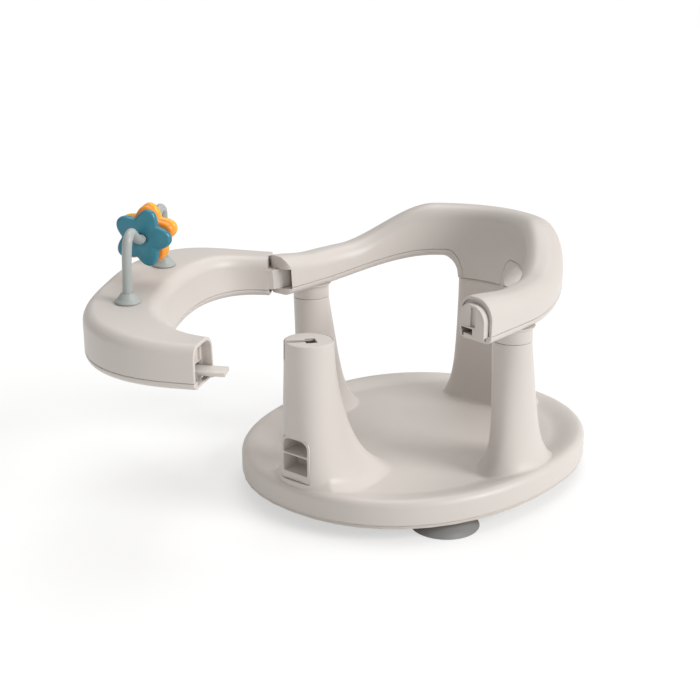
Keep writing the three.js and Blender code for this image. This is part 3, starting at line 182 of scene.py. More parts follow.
class BathSeatTray(bpy.types.PropertyGroup):
    """Sizes of the tray and how far it stands open"""

    inner_half_width: length("Inner half width", "Half width of the tray's bay", 0.1078)
    outer_half_width: length("Outer half width", "Half width of the tray", 0.1478)
    inner_depth: length("Inner depth", "Depth of the tray's bay", 0.063)
    inner_centre: length("Inner middle", "Where the bay's curve starts, along Y", -0.078)
    outer_depth: length("Outer depth", "Depth of the tray's outer curve", 0.1307)
    outer_centre: length("Outer middle", "Where the outer curve starts, along Y", -0.085)
    bottom: length("Underside", "Height of the tray's underside", 0.169)
    seam: length("Seam", "Height of the seam above the underside", 0.007)
    crest: length("Height", "Height of the tray's ends", 0.209)
    rise: length("Rise", "How much the tray rises to its front", 0.004)
    inner_crown: length("Inner crown", "Radius of the inner top edge", 0.014)
    outer_crown: length("Outer crown", "Radius of the outer top edge", 0.011)
    edge: length("Lower edge", "Radius of the lower edges", 0.006)
    open_angle: angle("Opening angle", "How far the tray stands open", SWING["range_deg"][1])


class BathSeatToys(bpy.types.PropertyGroup):
    """Sizes of the toy bar, its feet and the flowers"""

    foot_x: length("Foot place", "Half the distance between the toy bar's feet", 0.058)
    foot_y: length("Foot place, Y", "Place of the feet along Y, tray closed", -0.1715)
    foot_radius: length("Foot radius", "Radius of a foot", 0.012)
    foot_height: length("Foot height", "Height of a foot", 0.009)
    bar_radius: length("Bar radius", "Radius of the toy bar", 0.0044)
    bar_height: length("Bar height", "Height of the bar's bends above the tray", 0.061)
    bar_dip: length("Bar dip", "How far the bar dips between its bends", 0.0135)
    tip: length("Petal reach", "Radius of a flower over its petals", 0.028)
    valley: length("Petal valley", "Radius of a flower between its petals", 0.0195)
    thickness: length("Flower thickness", "Thickness of a flower", 0.0098)
    spacing: length("Flower spacing", "Distance from one flower to the next", 0.0108)


GROUPS = {
    "bath_seat_colours": BathSeatColours,
    "bath_seat_base": BathSeatBase,
    "bath_seat_ring": BathSeatRing,
    "bath_seat_tray": BathSeatTray,
    "bath_seat_toys": BathSeatToys,
}


# Laws and frames


def smooth(value):
    """Three squares less two cubes of a share kept between 0 and 1."""
    share = np.clip(value, 0, 1)
    return share * share * (3 - 2 * share)


def power(value, exponent):
    """The size of a value raised to an exponent, with the value's sign."""
    return np.sign(value) * np.abs(value) ** exponent


def turned_corner(value):
    """Share of a drop that starts level and ends upright, as a quarter of a circle does."""
    share = np.clip(value, 0, 1)
    return 1 - np.sqrt(1 - share**2) * (1 - 0.15 * share)


def closed_frame():
    """Turns the hinge's own frame into the part's, with the tray closed: Z runs along the leaning axis."""
    axis = Vector(SWING["axis"]).normalized()
    turn = Vector((0, 0, 1)).rotation_difference(axis).to_matrix().to_4x4()
    return Matrix.Translation(SWING["pos_m"]) @ turn


def opening(tray):
    """Turns the closed tray's points about the leaning axis to where the tray stands open."""
    place = Matrix.Translation(SWING["pos_m"])
    return place @ Matrix.Rotation(-tray.open_angle, 4, Vector(SWING["axis"])) @ place.inverted()


# Meshes


def level(x, y, height):
    """A row of points at one height."""
    return np.column_stack([x, y, np.full(len(x), height)])


def grid_faces(rows, count):
    """Quads between neighbouring rows of a grid whose columns close on themselves."""
    row = np.arange(rows - 1)[:, None] * count
    column = np.arange(count)[None, :]
    here = row + column
    following = row + (column + 1) % count
    return np.stack([here, following, following + count, here + count], axis=-1).reshape(-1, 4).tolist()


def skin(points, pole_first=None, pole_last=None):
    """Skins a rows x columns x 3 grid; each end is closed by one flat face or by a fan to a pole."""
    rows, count = points.shape[:2]
    faces = grid_faces(rows, count)
    flat = points.reshape(-1, 3).tolist()
    last = (rows - 1) * count
    for start, pole in ((0, pole_first), (last, pole_last)):
        if pole is None:
            faces.append(list(range(start, start + count)))
            continue
        flat.append(list(pole))
        centre = len(flat) - 1
        faces.extend([start + step, start + (step + 1) % count, centre] for step in range(count))
    return flat, faces


def closed_tube(points):
    """Skins a grid whose rows close on themselves as well as its columns."""
    rows, count = points.shape[:2]
    faces = grid_faces(rows, count)
    last = (rows - 1) * count
    faces.extend([last + step, last + (step + 1) % count, (step + 1) % count, step] for step in range(count))
    return points.reshape(-1, 3).tolist(), faces


def solid(name, skins):
    """One object of closed skins, with every face turned outwards."""
    data = bpy.data.meshes.new(name)
    points, faces = [], []
    for skin_points, skin_faces in skins:
        start = len(points)
        points.extend(skin_points)
        faces.extend([start + corner for corner in face] for face in skin_faces)
    data.from_pydata(points, [], faces)
    outward(data)
    made = bpy.data.objects.new(name, data)
    bpy.context.scene.collection.objects.link(made)
    return made


def outward(data):
    """Turns a closed mesh's faces outwards."""
    work = bmesh.new()
    work.from_mesh(data)
    bmesh.ops.recalc_face_normals(work, faces=work.faces)
    work.to_mesh(data)
    work.free()


def bake(made):
    """Replaces an object's mesh by what its modifiers make of it."""
    graph = bpy.context.evaluated_depsgraph_get()
    graph.update()
    old = made.data
    new = bpy.data.meshes.new_from_object(made.evaluated_get(graph))
    made.modifiers.clear()
    made.data = new
    new.name = made.name
    bpy.data.meshes.remove(old)


def combine(made, others, operation="DIFFERENCE"):
    """Cuts other solids out of a piece, adds them or keeps what they share, then drops them."""
    for other in others:
        modifier = made.modifiers.new(operation.lower(), "BOOLEAN")
        modifier.operation = operation
        modifier.object = other
        modifier.solver = "EXACT"
    bake(made)
    for other in others:
        data = other.data
        bpy.data.objects.remove(other)
        bpy.data.meshes.remove(data)
    if not made.data.polygons:
        raise RuntimeError(f"{made.name} lost its faces in a {operation.lower()}")
    return made


def finish_piece(made, name, node, soften=0.0):
    """Names and shades the piece that stands for a frame part, and files it under the part's body and slot.

    Soften is the width of the bevel on its sharp edges.
    """
    made.name = name
    made.data.name = name
    sharp = math.radians(SMOOTH_DEGREES)
    if soften:
        bevel = made.modifiers.new("soft edges", "BEVEL")
        bevel.width = soften
        bevel.segments = 2
        bevel.limit_method = "ANGLE"
        bevel.angle_limit = sharp
        bevel.use_clamp_overlap = True
        bake(made)
    outward(made.data)
    made.data.shade_smooth()
    made.data.set_sharp_from_angle(angle=sharp)
    made.data.materials.clear()
    made.data.materials.append(moulded(SLOTS[node]))
    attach(made, BODIES[node])
    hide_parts(node)


def prism(name, outline, low, high, matrix=None):
    """A plan outline drawn up from one height to another, then placed by a matrix."""
    made = solid(name, [skin(np.stack([level(*np.transpose(outline), height) for height in (low, high)]))])
    if matrix is not None:
        made.data.transform(matrix)
    return made


def block(name, low, high, matrix=None):
    """A box between two corners."""
    corners = [(low[0], low[1]), (high[0], low[1]), (high[0], high[1]), (low[0], high[1])]
    return prism(name, corners, low[2], high[2], matrix)


def disc_outline(radius, steps=ROUND, centre=(0, 0)):
    """Plan points of a circle."""
    turn = np.linspace(0, 2 * np.pi, steps, endpoint=False)
    return np.column_stack([centre[0] + radius * np.cos(turn), centre[1] + radius * np.sin(turn)])


def revolved(profile, centre, steps=ROUND):
    """Rows of points: a profile of radius and height turned about a vertical line."""
    turn = np.linspace(0, 2 * np.pi, steps, endpoint=False)[None, :]
    radius, height = (np.array(column)[:, None] for column in zip(*profile))
    across, along = centre[0] + radius * np.cos(turn), centre[1] + radius * np.sin(turn)
    return np.stack([across, along, height + 0 * turn], axis=-1)


def lathe(name, profile, centre=(0, 0), steps=ROUND):
    """Turns a profile about a vertical line; ends on the axis close in a pole."""
    first = (*centre, profile[0][1]) if profile[0][0] == 0 else None
    last = (*centre, profile[-1][1]) if profile[-1][0] == 0 else None
    rows = revolved(profile, centre, steps)[1 if first else 0 : len(profile) - 1 if last else None]
    return solid(name, [skin(rows, first, last)])


def rounded(profile, radius, steps=4):
    """Rounds the inner corners of an open profile by arcs that touch both sides."""
    points = [np.asarray(point, float) for point in profile]
    out = [points[0]]
    for before, corner, after in zip(points, points[1:], points[2:]):
        one, two = before - corner, after - corner
        reach = min(radius, np.linalg.norm(one) / 2, np.linalg.norm(two) / 2)
        start = corner + one / np.linalg.norm(one) * reach
        end = corner + two / np.linalg.norm(two) * reach
        for share in np.linspace(0, 1, steps + 1):
            out.append((1 - share) ** 2 * start + 2 * share * (1 - share) * corner + share**2 * end)
    out.append(points[-1])
    return [tuple(point) for point in out]


# Materials


def node_group(name, inputs, outputs):
    """A new group with its input and output nodes; inputs have a kind and a default value."""
    group = bpy.data.node_groups.new(name, "ShaderNodeTree")
    for socket, kind, default in inputs:
        made = group.interface.new_socket(socket, in_out="INPUT", socket_type=kind)
        made.default_value = default
    for socket, kind in outputs:
        group.interface.new_socket(socket, in_out="OUTPUT", socket_type=kind)
    return group, group.nodes.new("NodeGroupInput"), group.nodes.new("NodeGroupOutput")


def add_node(tree, kind, values=None, **settings):
    """A shader node with its settings and its inputs' values."""
    made = tree.nodes.new(f"ShaderNode{kind}")
    for name, value in settings.items():
        setattr(made, name, value)
    for socket, value in (values or {}).items():
        made.inputs[socket].default_value = value
    return made


def wire(tree, *pairs):
    """Links outputs to inputs, given in pairs."""
    for source, target in pairs:
        tree.links.new(source, target)


def noise(group, source, scale, detail, offset=0.0):
    """A noise over object coordinates; an offset moves it to another part of the pattern."""
    made = add_node(group, "TexNoise", {"Scale": scale, "Detail": detail})
    place = add_node(group, "VectorMath", {1: (offset, offset, offset)}, operation="ADD")
    wire(group, (source, place.inputs[0]), (place.outputs[0], made.inputs["Vector"]))
    return made.outputs["Fac"]


def ramp(group, source, low, high):
    """Stretches a mask from 0..1 to low..high."""
    made = add_node(group, "MapRange", {"To Min": low, "To Max": high})
    wire(group, (source, made.inputs["Value"]))
    return made.outputs["Result"]


CLOUD_TINT = (0.42, 0.36, 0.30, 1)
CLOUD_SCALE, SATIN_SCALE, GRAIN_SCALE = 14, 45, 2600
SATIN_RANGE = 0.05
GRAIN_DEPTH = 0.00005


def moulded_group():
    """Moulded plastic: faint clouds in the colour, a satin that wanders and a very fine grain."""
    name = "Moulded plastic"
    if name in bpy.data.node_groups:
        return bpy.data.node_groups[name]
    group, given, result = node_group(
        name,
        [
            ("Colour", "NodeSocketColor", (0.8, 0.8, 0.8, 1)),
            ("Clouds", "NodeSocketFloat", 0.03),
            ("Roughness", "NodeSocketFloat", 0.4),
            ("Grain", "NodeSocketFloat", 0.1),
        ],
        [("Colour", "NodeSocketColor"), ("Roughness", "NodeSocketFloat"), ("Normal", "NodeSocketVector")],
    )
    place = add_node(group, "TexCoord").outputs["Object"]
    amount = add_node(group, "Math", operation="MULTIPLY")
    darker = add_node(group, "Mix", {"B": CLOUD_TINT}, data_type="RGBA", blend_type="MULTIPLY")
    rough = add_node(group, "Math", operation="ADD")
    bump = add_node(group, "Bump", {"Distance": GRAIN_DEPTH})
    satin = noise(group, place, SATIN_SCALE, 2, 3.1)
    wire(
        group,
        (noise(group, place, CLOUD_SCALE, 3), amount.inputs[0]),
        (given.outputs["Clouds"], amount.inputs[1]),
        (amount.outputs[0], darker.inputs["Factor"]),
        (given.outputs["Colour"], darker.inputs["A"]),
        (darker.outputs["Result"], result.inputs["Colour"]),
        (given.outputs["Roughness"], rough.inputs[0]),
        (ramp(group, satin, -SATIN_RANGE, SATIN_RANGE), rough.inputs[1]),
        (rough.outputs[0], result.inputs["Roughness"]),
        (given.outputs["Grain"], bump.inputs["Strength"]),
        (noise(group, place, GRAIN_SCALE, 2, 7.7), bump.inputs["Height"]),
        (bump.outputs["Normal"], result.inputs["Normal"]),
    )
    return group


# For each slot: material, colour, roughness, clouds, grain, metallic and transmission
FINISHES = {
    "shell_plastic": ("Body plastic", "shell", 0.42, 0.05, 0.12, 0, 0),
    "under_plastic": ("Underside plastic", "under", 0.5, 0.05, 0.12, 0, 0),
    "cup_rubber": ("Smoky vinyl", "cup", 0.24, 0.1, 0.03, 0, 0.2),
    "grey_plastic": ("Grey plastic", "grey", 0.38, 0.05, 0.12, 0, 0),
    "steel": ("Zinc plated steel", "steel", 0.3, 0.2, 0.2, 1, 0),
    "flower_teal_plastic": ("Teal plastic", "teal", 0.3, 0.03, 0.04, 0, 0),
    "flower_orange_plastic": ("Orange plastic", "orange", 0.3, 0.03, 0.04, 0, 0),
    "flower_yellow_plastic": ("Yellow plastic", "yellow", 0.3, 0.03, 0.04, 0, 0),
}


def moulded(slot):
    """A slot's material, made once: the moulded group around one shader."""
    name, field, roughness, clouds, grain, metallic, clear = FINISHES[slot]
    if name in bpy.data.materials:
        return bpy.data.materials[name]
    tint = (*getattr(bpy.context.scene.bath_seat_colours, field), 1)
    made = bpy.data.materials.new(name)
    made.use_nodes = True
    tree = made.node_tree
    shader = tree.nodes["Principled BSDF"]
    values = {"Colour": tint, "Clouds": clouds, "Roughness": roughness, "Grain": grain}
    group = add_node(tree, "Group", values, node_tree=moulded_group())
    wire(
        tree,
        (group.outputs["Colour"], shader.inputs["Base Color"]),
        (group.outputs["Roughness"], shader.inputs["Roughness"]),
        (group.outputs["Normal"], shader.inputs["Normal"]),
    )
    for socket, value in {"Metallic": metallic, "Transmission Weight": clear, "IOR": 1.5}.items():
        shader.inputs[socket].default_value = value
    made.diffuse_color = tint
    return made


# The base and its posts


def superellipse(half_width, front, rear, centre, exponent, steps):
    """Plan outline whose front and rear halves differ; exponent 2 is an ellipse, more is squarer."""
    turn = np.linspace(0, 2 * np.pi, steps, endpoint=False)
    across = power(np.cos(turn), 2 / exponent)
    along = power(np.sin(turn), 2 / exponent)
    depth = np.where(along < 0, front, rear)
    return half_width * across, centre + depth * along


# Shape of the base's outline, and the soft edge at its foot
BASE_POWER = 2.2
BASE_SOFT = 0.0008


def base_ring(base, inset, steps=288):
    """The rim's outline, drawn in by an inset."""
    sizes = [size - inset for size in (base.half_width, base.front_length, base.rear_length)]
    return superellipse(*sizes, base.widest, BASE_POWER, steps)


def base_profile(base):
    """The disc's section as inset and height: lower edge, rim, round edge, sloping lip and flat seat."""
    soft = BASE_SOFT
    points = [(soft, base.bottom), (soft / 3, base.bottom + soft / 3), (0, base.bottom + soft)]
    for height in np.linspace(base.bottom + 2 * soft, base.top - base.edge, 6):
        points.append((0, height))
    for turn in np.radians(np.linspace(7.5, 90, 12)):
        points.append((base.edge * (1 - math.cos(turn)), base.top - base.edge * (1 - math.sin(turn))))
    for share in np.linspace(0.04, 1, 25):
        points.append((base.edge + 2 * base.lip * share, base.top - base.dish * float(smooth(share))))
    return np.array(points)


def base_disc(base):
    """Rows of the section round the outline, closed over the seat by rows that shrink to its middle."""
    rings = [level(*base_ring(base, inset), height) for inset, height in base_profile(base)]
    seat = rings[-1]
    middle = np.array([0, base.widest, seat[0, 2]])
    for share in (0.82, 0.64, 0.46, 0.30, 0.16, 0.06):
        rings.append(middle + (seat - middle) * np.array([share, share, 1]))
    return solid("disc", [skin(np.stack(rings), pole_last=middle)])


def base_inset(base, across, along):
    """How far inside the rim's outline a point lies, found by halving."""
    low = np.full(across.shape, -0.03)
    high = np.full(across.shape, base.half_width - 0.001)
    for _ in range(30):
        middle = (low + high) / 2
        depth = np.where(along < base.widest, base.front_length, base.rear_length)
        reach = np.abs(across / (base.half_width - middle)) ** BASE_POWER
        reach = reach + np.abs((along - base.widest) / (depth - middle)) ** BASE_POWER
        inside = reach < 1
        low = np.where(inside, middle, low)
        high = np.where(inside, high, middle)
    return low


def seat_height(base, across, along):
    """Height of the base's upper skin over a point."""
    profile = base_profile(base)[3:]
    order = np.maximum.accumulate(profile[:, 0] + np.arange(len(profile)) * 1e-9)
    return np.interp(base_inset(base, across, along), order, profile[:, 1])


def spread(share, taper, exponent, fillet):
    """Growth down a post: a taper by a power of the share, and a flare by its eighth power."""
    return taper * share**exponent + fillet * share**8


# How the posts grow from top to foot: the front post's width and depth with its flare, the side posts'
# lean and flare, and the rear post's width, flares, wedge, bow and step backwards
FRONT_WIDTH, FRONT_DEPTH, FRONT_FLARE = 0.009, 0.024, 0.010
SIDE_RAKE, SIDE_FLARE = 0.0175, 0.014
REAR_WIDTH, REAR_FLARE, REAR_DEPTH_FLARE = 0.009, 0.008, 0.012
REAR_WEDGE, REAR_BOW, REAR_STEP, REAR_POWER = 0.0065, 0.007, 0.005, 3.6


def front_post(base, steps):
    """Front post: a round top that grows backwards only, so its front stays upright."""

    def at(share, inset=0.0):
        half = base.front_post_radius - inset + spread(share, FRONT_WIDTH, 2, FRONT_FLARE)
        growth = spread(share, FRONT_DEPTH, 2, FRONT_FLARE)
        depth = base.front_post_radius - inset + growth
        square = 2 + 0.8 * float(smooth(share * 1.1))
        across, along = superellipse(1, 1, 1, 0, square, steps)
        return half * across, base.front_post_y + growth + depth * along

    return at


def side_post(base, steps, side):
    """Side post: an ellipse that leans and grows backwards on its way down."""

    def at(share, inset=0.0):
        half = base.side_post_radius - inset + spread(share, 0, 1, SIDE_FLARE)
        rake = spread(share, SIDE_RAKE, 1, 0)
        depth = base.side_post_radius - inset + spread(share, SIDE_RAKE, 1, SIDE_FLARE)
        turn = np.linspace(0, 2 * np.pi, steps, endpoint=False)
        return side * base.side_post_x + half * np.cos(turn), base.side_post_y + rake + depth * np.sin(turn)

    return at


def rear_post(base, steps):
    """Rear post: a bowed wedge, wider outside, that carries on the ring's curve."""

    def at(share, inset=0.0):
        depth = (base.rear_outer - base.rear_inner) / 2 - inset + spread(share, 0, 1, REAR_DEPTH_FLARE)
        half = base.rear_half_width - inset + spread(share, REAR_WIDTH, 1.5, REAR_FLARE)
        across, along = superellipse(1, 1, 1, 0, REAR_POWER, steps)
        x = across * (half + REAR_WEDGE * along)
        middle = (base.rear_outer + base.rear_inner) / 2 + REAR_STEP * share
        return x, middle + depth * along - REAR_BOW * (x / half) ** 2

    return at


# Where down a post its slope is taken, and over what share of it
FOOT_SHARE, FOOT_STEP = 0.93, 0.03

# A foot's least distance from the rim, its least room and radius, the degrees at which it meets the
# seat, and how far its last row lies outside and below that
RIM_MARGIN, LEAST_ROOM, LEAST_RADIUS = 0.004, 0.001, 0.0015
LANDING_DEGREES, SINK_OUT, SINK_DOWN = 3, 0.0004, 0.0030


def post(name, base, at, top, foot_radius, edge=EDGE_SOFTNESS):
    """Lofts a post whose columns bend into the seat by arcs and then dip into it.

    An arc's radius is the room between the post and the rim over the sine of the post's steepness. The
    share of the height at which it starts is found by going to and fro between it and its landing.
    """
    foot = base.top - base.dish
    rows = []
    for turn in np.radians(np.linspace(90, 0, 5)):
        rows.append(level(*at(0.0, edge * (1 - math.cos(turn))), top - edge * (1 - math.sin(turn))))
    x0, y0 = at(FOOT_SHARE - FOOT_STEP)
    x1, y1 = at(FOOT_SHARE)
    out = np.column_stack([x1 - np.mean(x1), y1 - np.mean(y1)])
    out /= np.linalg.norm(out, axis=1)[:, None]
    slope = np.hypot(x1 - x0, y1 - y0) / ((top - foot) * FOOT_STEP)
    steep = np.arctan2(1, slope)
    inset = base_inset(base, x1, y1)
    rim = np.column_stack([x1 / base.half_width, (y1 - base.widest) / base.rear_length])
    rim /= np.linalg.norm(rim, axis=1)[:, None]
    facing = np.sum(out * rim, axis=1)
    room = np.maximum(inset - RIM_MARGIN, LEAST_ROOM)
    room = np.where(facing > 0.05, room / np.maximum(facing, 0.05), 1.0)
    width = np.sin(steep)
    radius = np.clip(room / width, LEAST_RADIUS, foot_radius)
    share = np.full(len(x1), FOOT_SHARE)
    for _ in range(6):
        x, y = column_points(at, share)
        land = seat_height(base, x + out[:, 0] * radius * width, y + out[:, 1] * radius * width)
        start = land + radius * (1 - np.cos(steep))
        share = np.clip((top - start) / (top - foot), 0, 1.1)
    for part in np.linspace(0.015, 1, 56):
        x, y = column_points(at, share * part)
        rows.append(np.column_stack([x, y, top - edge - (top - edge - start) * part]))
    x, y = column_points(at, share)
    for part in np.linspace(0.08, 1, 12):
        now = steep * (1 - part) + math.radians(LANDING_DEGREES) * part
        run = radius * (np.sin(steep) - np.sin(now))
        drop = radius * (np.cos(now) - np.cos(steep))
        rows.append(np.column_stack([x + out[:, 0] * run, y + out[:, 1] * run, start - drop]))
    sink = rows[-1].copy()
    sink[:, :2] += out * SINK_OUT
    sink[:, 2] -= SINK_DOWN
    rows.append(sink)
    return solid(name, [skin(np.stack(rows))])


def column_points(at, share):
    """Samples a post's outline law with a share of its own for each column."""
    step, count = 0.01, 113
    table = np.array([np.column_stack(at(sample)) for sample in np.linspace(0, step * (count - 1), count)])
    place = np.clip(share, 0, step * (count - 2)) / step
    low = np.floor(place).astype(int)
    part = (place - low)[:, None]
    columns = np.arange(table.shape[1])
    points = table[low, columns] * (1 - part) + table[low + 1, columns] * part
    return points[:, 0], points[:, 1]


# The pocket in the front post: sizes of its mouth, and of the insert's rim, shelf and back
POCKET = {"half": 0.0175, "bottom": 0.031, "top": 0.075, "depth": 0.024, "corner": 0.009, "foot": 0.0018}
INSERT = {"rim": 0.0026, "wall": 0.0016, "shelf": 0.057, "sill": 0.005, "recess": 0.0022}

# The cap: the play round it, its rim's height and soft edge; and how deep the post is open below it
CAP = {"inset": 0.0012, "height": 0.014, "soft": 0.0007, "well": 0.030}

# The docking key's slot: width, height range and sweep in degrees, and the same of its wider well
KEY_LOW, KEY_HIGH = -0.0345, 0.010
KEY_SLOT = (0.0067, -14, 3.3)
KEY_WELL = (0.0142, -0.2, 3.3)
KEY_ASIDE, KEY_AHEAD = 0.0034, 1.5


def pocket_outline(inset, sill=0.0, corner=None, top=None):
    """Front view of the pocket: square below with small corners, well rounded above."""
    half = POCKET["half"] - inset
    low = POCKET["bottom"] + inset + sill
    high = (POCKET["top"] if top is None else top) - inset
    big = POCKET["corner"] - inset / 2 if corner is None else corner
    small = POCKET["foot"]
    out = []
    for centre_x, centre_z, radius, start in (
        (half - small, low + small, small, 270),
        (half - big, high - big, big, 0),
        (-half + big, high - big, big, 90),
        (-half + small, low + small, small, 180),
    ):
        out += arc(centre_x, centre_z, radius, start, start + 90, 8)
    return np.array(out)


def pocket_solid(name, outline, front, back):
    """An outline in the front view drawn back along Y."""
    rows = [level(*outline.T, y)[:, [0, 2, 1]] for y in (front, back)]
    return solid(name, [skin(np.stack(rows))])


class BATHSEAT_OT_base(bpy.types.Operator):
    """Build the base with its four posts, cap and pocket"""

    bl_idname = "bathseat.base"
    bl_label = "Base and posts"

    def execute(self, context):
        base = context.scene.bath_seat_base
        shell = base_disc(base)
        posts = [
            post("front", base, front_post(base, 160), base.front_post_top, base.foot),
            post("left", base, side_post(base, 128, 1), base.side_post_top, base.side_foot),
            post("right", base, side_post(base, 128, -1), base.side_post_top, base.side_foot),
            post("rear", base, rear_post(base, 192), base.rear_top, base.side_foot),
        ]
        combine(shell, posts, "UNION")
        centre = (0, base.front_post_y)
        top = base.front_post_top
        outline = disc_outline(base.front_post_radius - CAP["inset"] + FIT_GAP, 160, centre)
        well = prism("well", outline, top - CAP["well"], top + OVERRUN)
        front = base.front_post_y - base.front_post_radius
        back = front + POCKET["depth"] + FIT_GAP
        mouth = pocket_solid("mouth", pocket_outline(-FIT_GAP), front - OVERRUN, back)
        combine(shell, [well, mouth, *self.key_slot()])
        finish_piece(shell, "seat_base", "base_shell")
        self.cap(base, centre)
        self.pocket(front)
        return {"FINISHED"}

    def key_slot(self):
        """Arc-shaped slot that the tray's key swings into, with a wider well at its inner end."""
        radius, degrees = key_place()
        matrix = closed_frame()
        cuts = []
        for width, start, stop in (KEY_SLOT, KEY_WELL):
            outline = band(radius, width, degrees + start, degrees + stop)
            cuts.append(prism("slot", outline, KEY_LOW, KEY_HIGH, matrix))
        return cuts

    def cap(self, base, centre):
        """A lid with a soft edge and a rim that hangs into the post."""
        radius = base.front_post_radius - CAP["inset"]
        inner = radius - COVER_WALL
        soft = CAP["soft"]
        top = base.front_post_top
        low, under = top - CAP["height"], top - COVER_WALL
        profile = [(0, under), (inner, under), (inner, low), (radius, low)]
        profile += arc(radius - soft, top - soft, soft, 0, 90, 4)
        profile.append((0, top))
        cap = lathe("cap", profile, centre, 160)
        combine(cap, self.key_slot())
        finish_piece(cap, "post_cap", "front_post_cap")

    def pocket(self, front):
        """An insert with two rooms, one above and one below its shelf."""
        back = front + POCKET["depth"]
        rim, wall, shelf = INSERT["rim"], INSERT["wall"], INSERT["shelf"]
        insert = pocket_solid("insert", pocket_outline(0), front + INSERT["recess"], back)
        upper = pocket_outline(rim, shelf + wall / 2 - POCKET["bottom"] - rim)
        lower = pocket_outline(rim, INSERT["sill"], wall, shelf - wall / 2 + rim)
        rooms = [pocket_solid("room", outline, front - OVERRUN, back - wall) for outline in (upper, lower)]
        combine(insert, rooms)
        finish_piece(insert, "post_pocket", "front_pocket", 0.0004)


def band(radius, width, start, stop, steps=24):
    """Part of a circular band about the hinge axis, in plan."""
    turn = np.radians(np.linspace(start, stop, steps))
    outer = np.column_stack([np.cos(turn), np.sin(turn)]) * (radius + width / 2)
    inner = np.column_stack([np.cos(turn), np.sin(turn)])[::-1] * (radius - width / 2)
    return np.concatenate([outer, inner])


def key_place():
    """Radius and direction of the docking key from the hinge, tray closed."""
    base = bpy.context.scene.bath_seat_base
    x, y, _ = SWING["pos_m"]
    run, rise = -x, base.front_post_y - y
    return math.hypot(run, rise) + KEY_ASIDE, math.degrees(math.atan2(rise, run)) - KEY_AHEAD


# The cups: radius of the neck and of the button above it, the button's thickness, the lip's edge and
# how thick the bell is at the neck
CUP = {"neck": 0.006, "button": 0.009, "head": 0.003, "lip": 0.0006, "wall": 0.0016}


class BATHSEAT_OT_cups(bpy.types.Operator):
    """Build the four suction cups"""

    bl_idname = "bathseat.cups"
    bl_label = "Suction cups"

    def execute(self, context):
        for end in ("front_left", "front_right", "rear_left", "rear_right"):
            node = f"suction_cup_{end}"
            low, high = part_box(node)
            centre = ((low.x + high.x) / 2, (low.y + high.y) / 2)
            radius = (high.x - low.x) / 2
            cup = lathe("cup", self.profile(radius, low.z, high.z), centre, 144)
            finish_piece(cup, f"cup_{end}", node)
        return {"FINISHED"}

    def profile(self, radius, low, high):
        """A thin bell that flares to its lip by a power of its reach, with a neck and a button above."""
        neck, button, head, lip, wall = CUP.values()
        inside = neck * 1.6
        shares = np.linspace(0, 1, 26)
        reach = inside + (radius - lip - inside) * shares
        height = -0.0032 - (abs(low) - 0.0042) * shares**1.7
        outer = list(zip(reach, height))
        inner = list(zip(reach - 0.0004, height - wall * (1 - 0.35 * shares)))
        under = [(0, inner[0][1]), *inner, (radius - 0.0004, low), (radius, low + lip)]
        over = [*outer[::-1], (neck, -0.0030), (neck, high - head), (button, high - head)]
        return under + over + [(button, high - 0.0008), (button - 0.0008, high), (0, high)]


# Swept shells of the ring and the tray


def stations(inner, outer, bottom, seam, top, lean=None, draw=None):
    """A line of stations: plan points of both sides, heights, the inner side's lean and its drawing in."""
    count = len(top)
    return {
        "inner": inner,
        "outer": outer,
        "bottom": np.broadcast_to(bottom, count).astype(float),
        "seam": np.broadcast_to(seam, count).astype(float),
        "top": top,
        "lean": np.zeros(count) if lean is None else lean,
        "draw": np.zeros(count) if draw is None else draw,
    }


def sides(near, far, y, skew=0):
    """Plan points of both sides of a straight run; the far side stands ahead by the skew."""
    return np.column_stack([np.full(len(y), near), y]), np.column_stack([np.full(len(y), far), y - skew])


def joined_stations(parts):
    """One line of several."""
    return {key: np.concatenate([part[key] for part in parts]) for key in parts[0]}


def section_frame(line):
    """Direction and width across each station."""
    across = line["outer"] - line["inner"]
    width = np.linalg.norm(across, axis=1)
    return across / width[:, None], width


def arc(centre_x, centre_z, radius, start, stop, steps):
    """Points of an arc in degrees, or columns of points where its middle and radius differ by station."""
    turns = np.radians(np.linspace(start, stop, steps + 1))
    return [(centre_x + radius * math.cos(turn), centre_z + radius * math.sin(turn)) for turn in turns]


def crown_path(line, width, crown, inset, chamfer=0.0, steps=12):
    """From the inner seam over the crown to the outer seam: straight sides and two arcs."""
    inner = crown[0] - inset
    outer = crown[1] - inset
    top = line["top"] - inset
    seam = line["seam"]
    path = [(inset + chamfer, seam)] if chamfer else []
    path.append((inset, seam + chamfer))
    path += arc(inset + line["lean"] + inner, top - inner, inner, 180, 90, steps)
    path += arc(width - inset - outer, top - outer, outer, 90, 0, steps)
    path.append((width - inset, seam + chamfer))
    if chamfer:
        path.append((width - inset - chamfer, seam))
    return path


def shell_section(line, width, crown):
    """An open shell: its outside with soft edges, and its inside a wall further in."""
    outside = crown_path(line, width, crown, line["draw"], EDGE_SOFTNESS)
    return outside + crown_path(line, width, crown, WALL)[::-1]


def filled_section(line, width, crown):
    """What fills the shell, to the middle of its wall."""
    return crown_path(line, width, crown, WALL / 2)


def full_section(line, width, crown):
    """A closed bar: rounded below, crowned above."""
    edge = crown[2]
    path = arc(edge, line["bottom"] + edge, edge, 270, 180, 6)
    path += crown_path(line, width, crown, line["draw"])[1:-1]
    return path + arc(width - edge, line["bottom"] + edge, edge, 0, -90, 6)


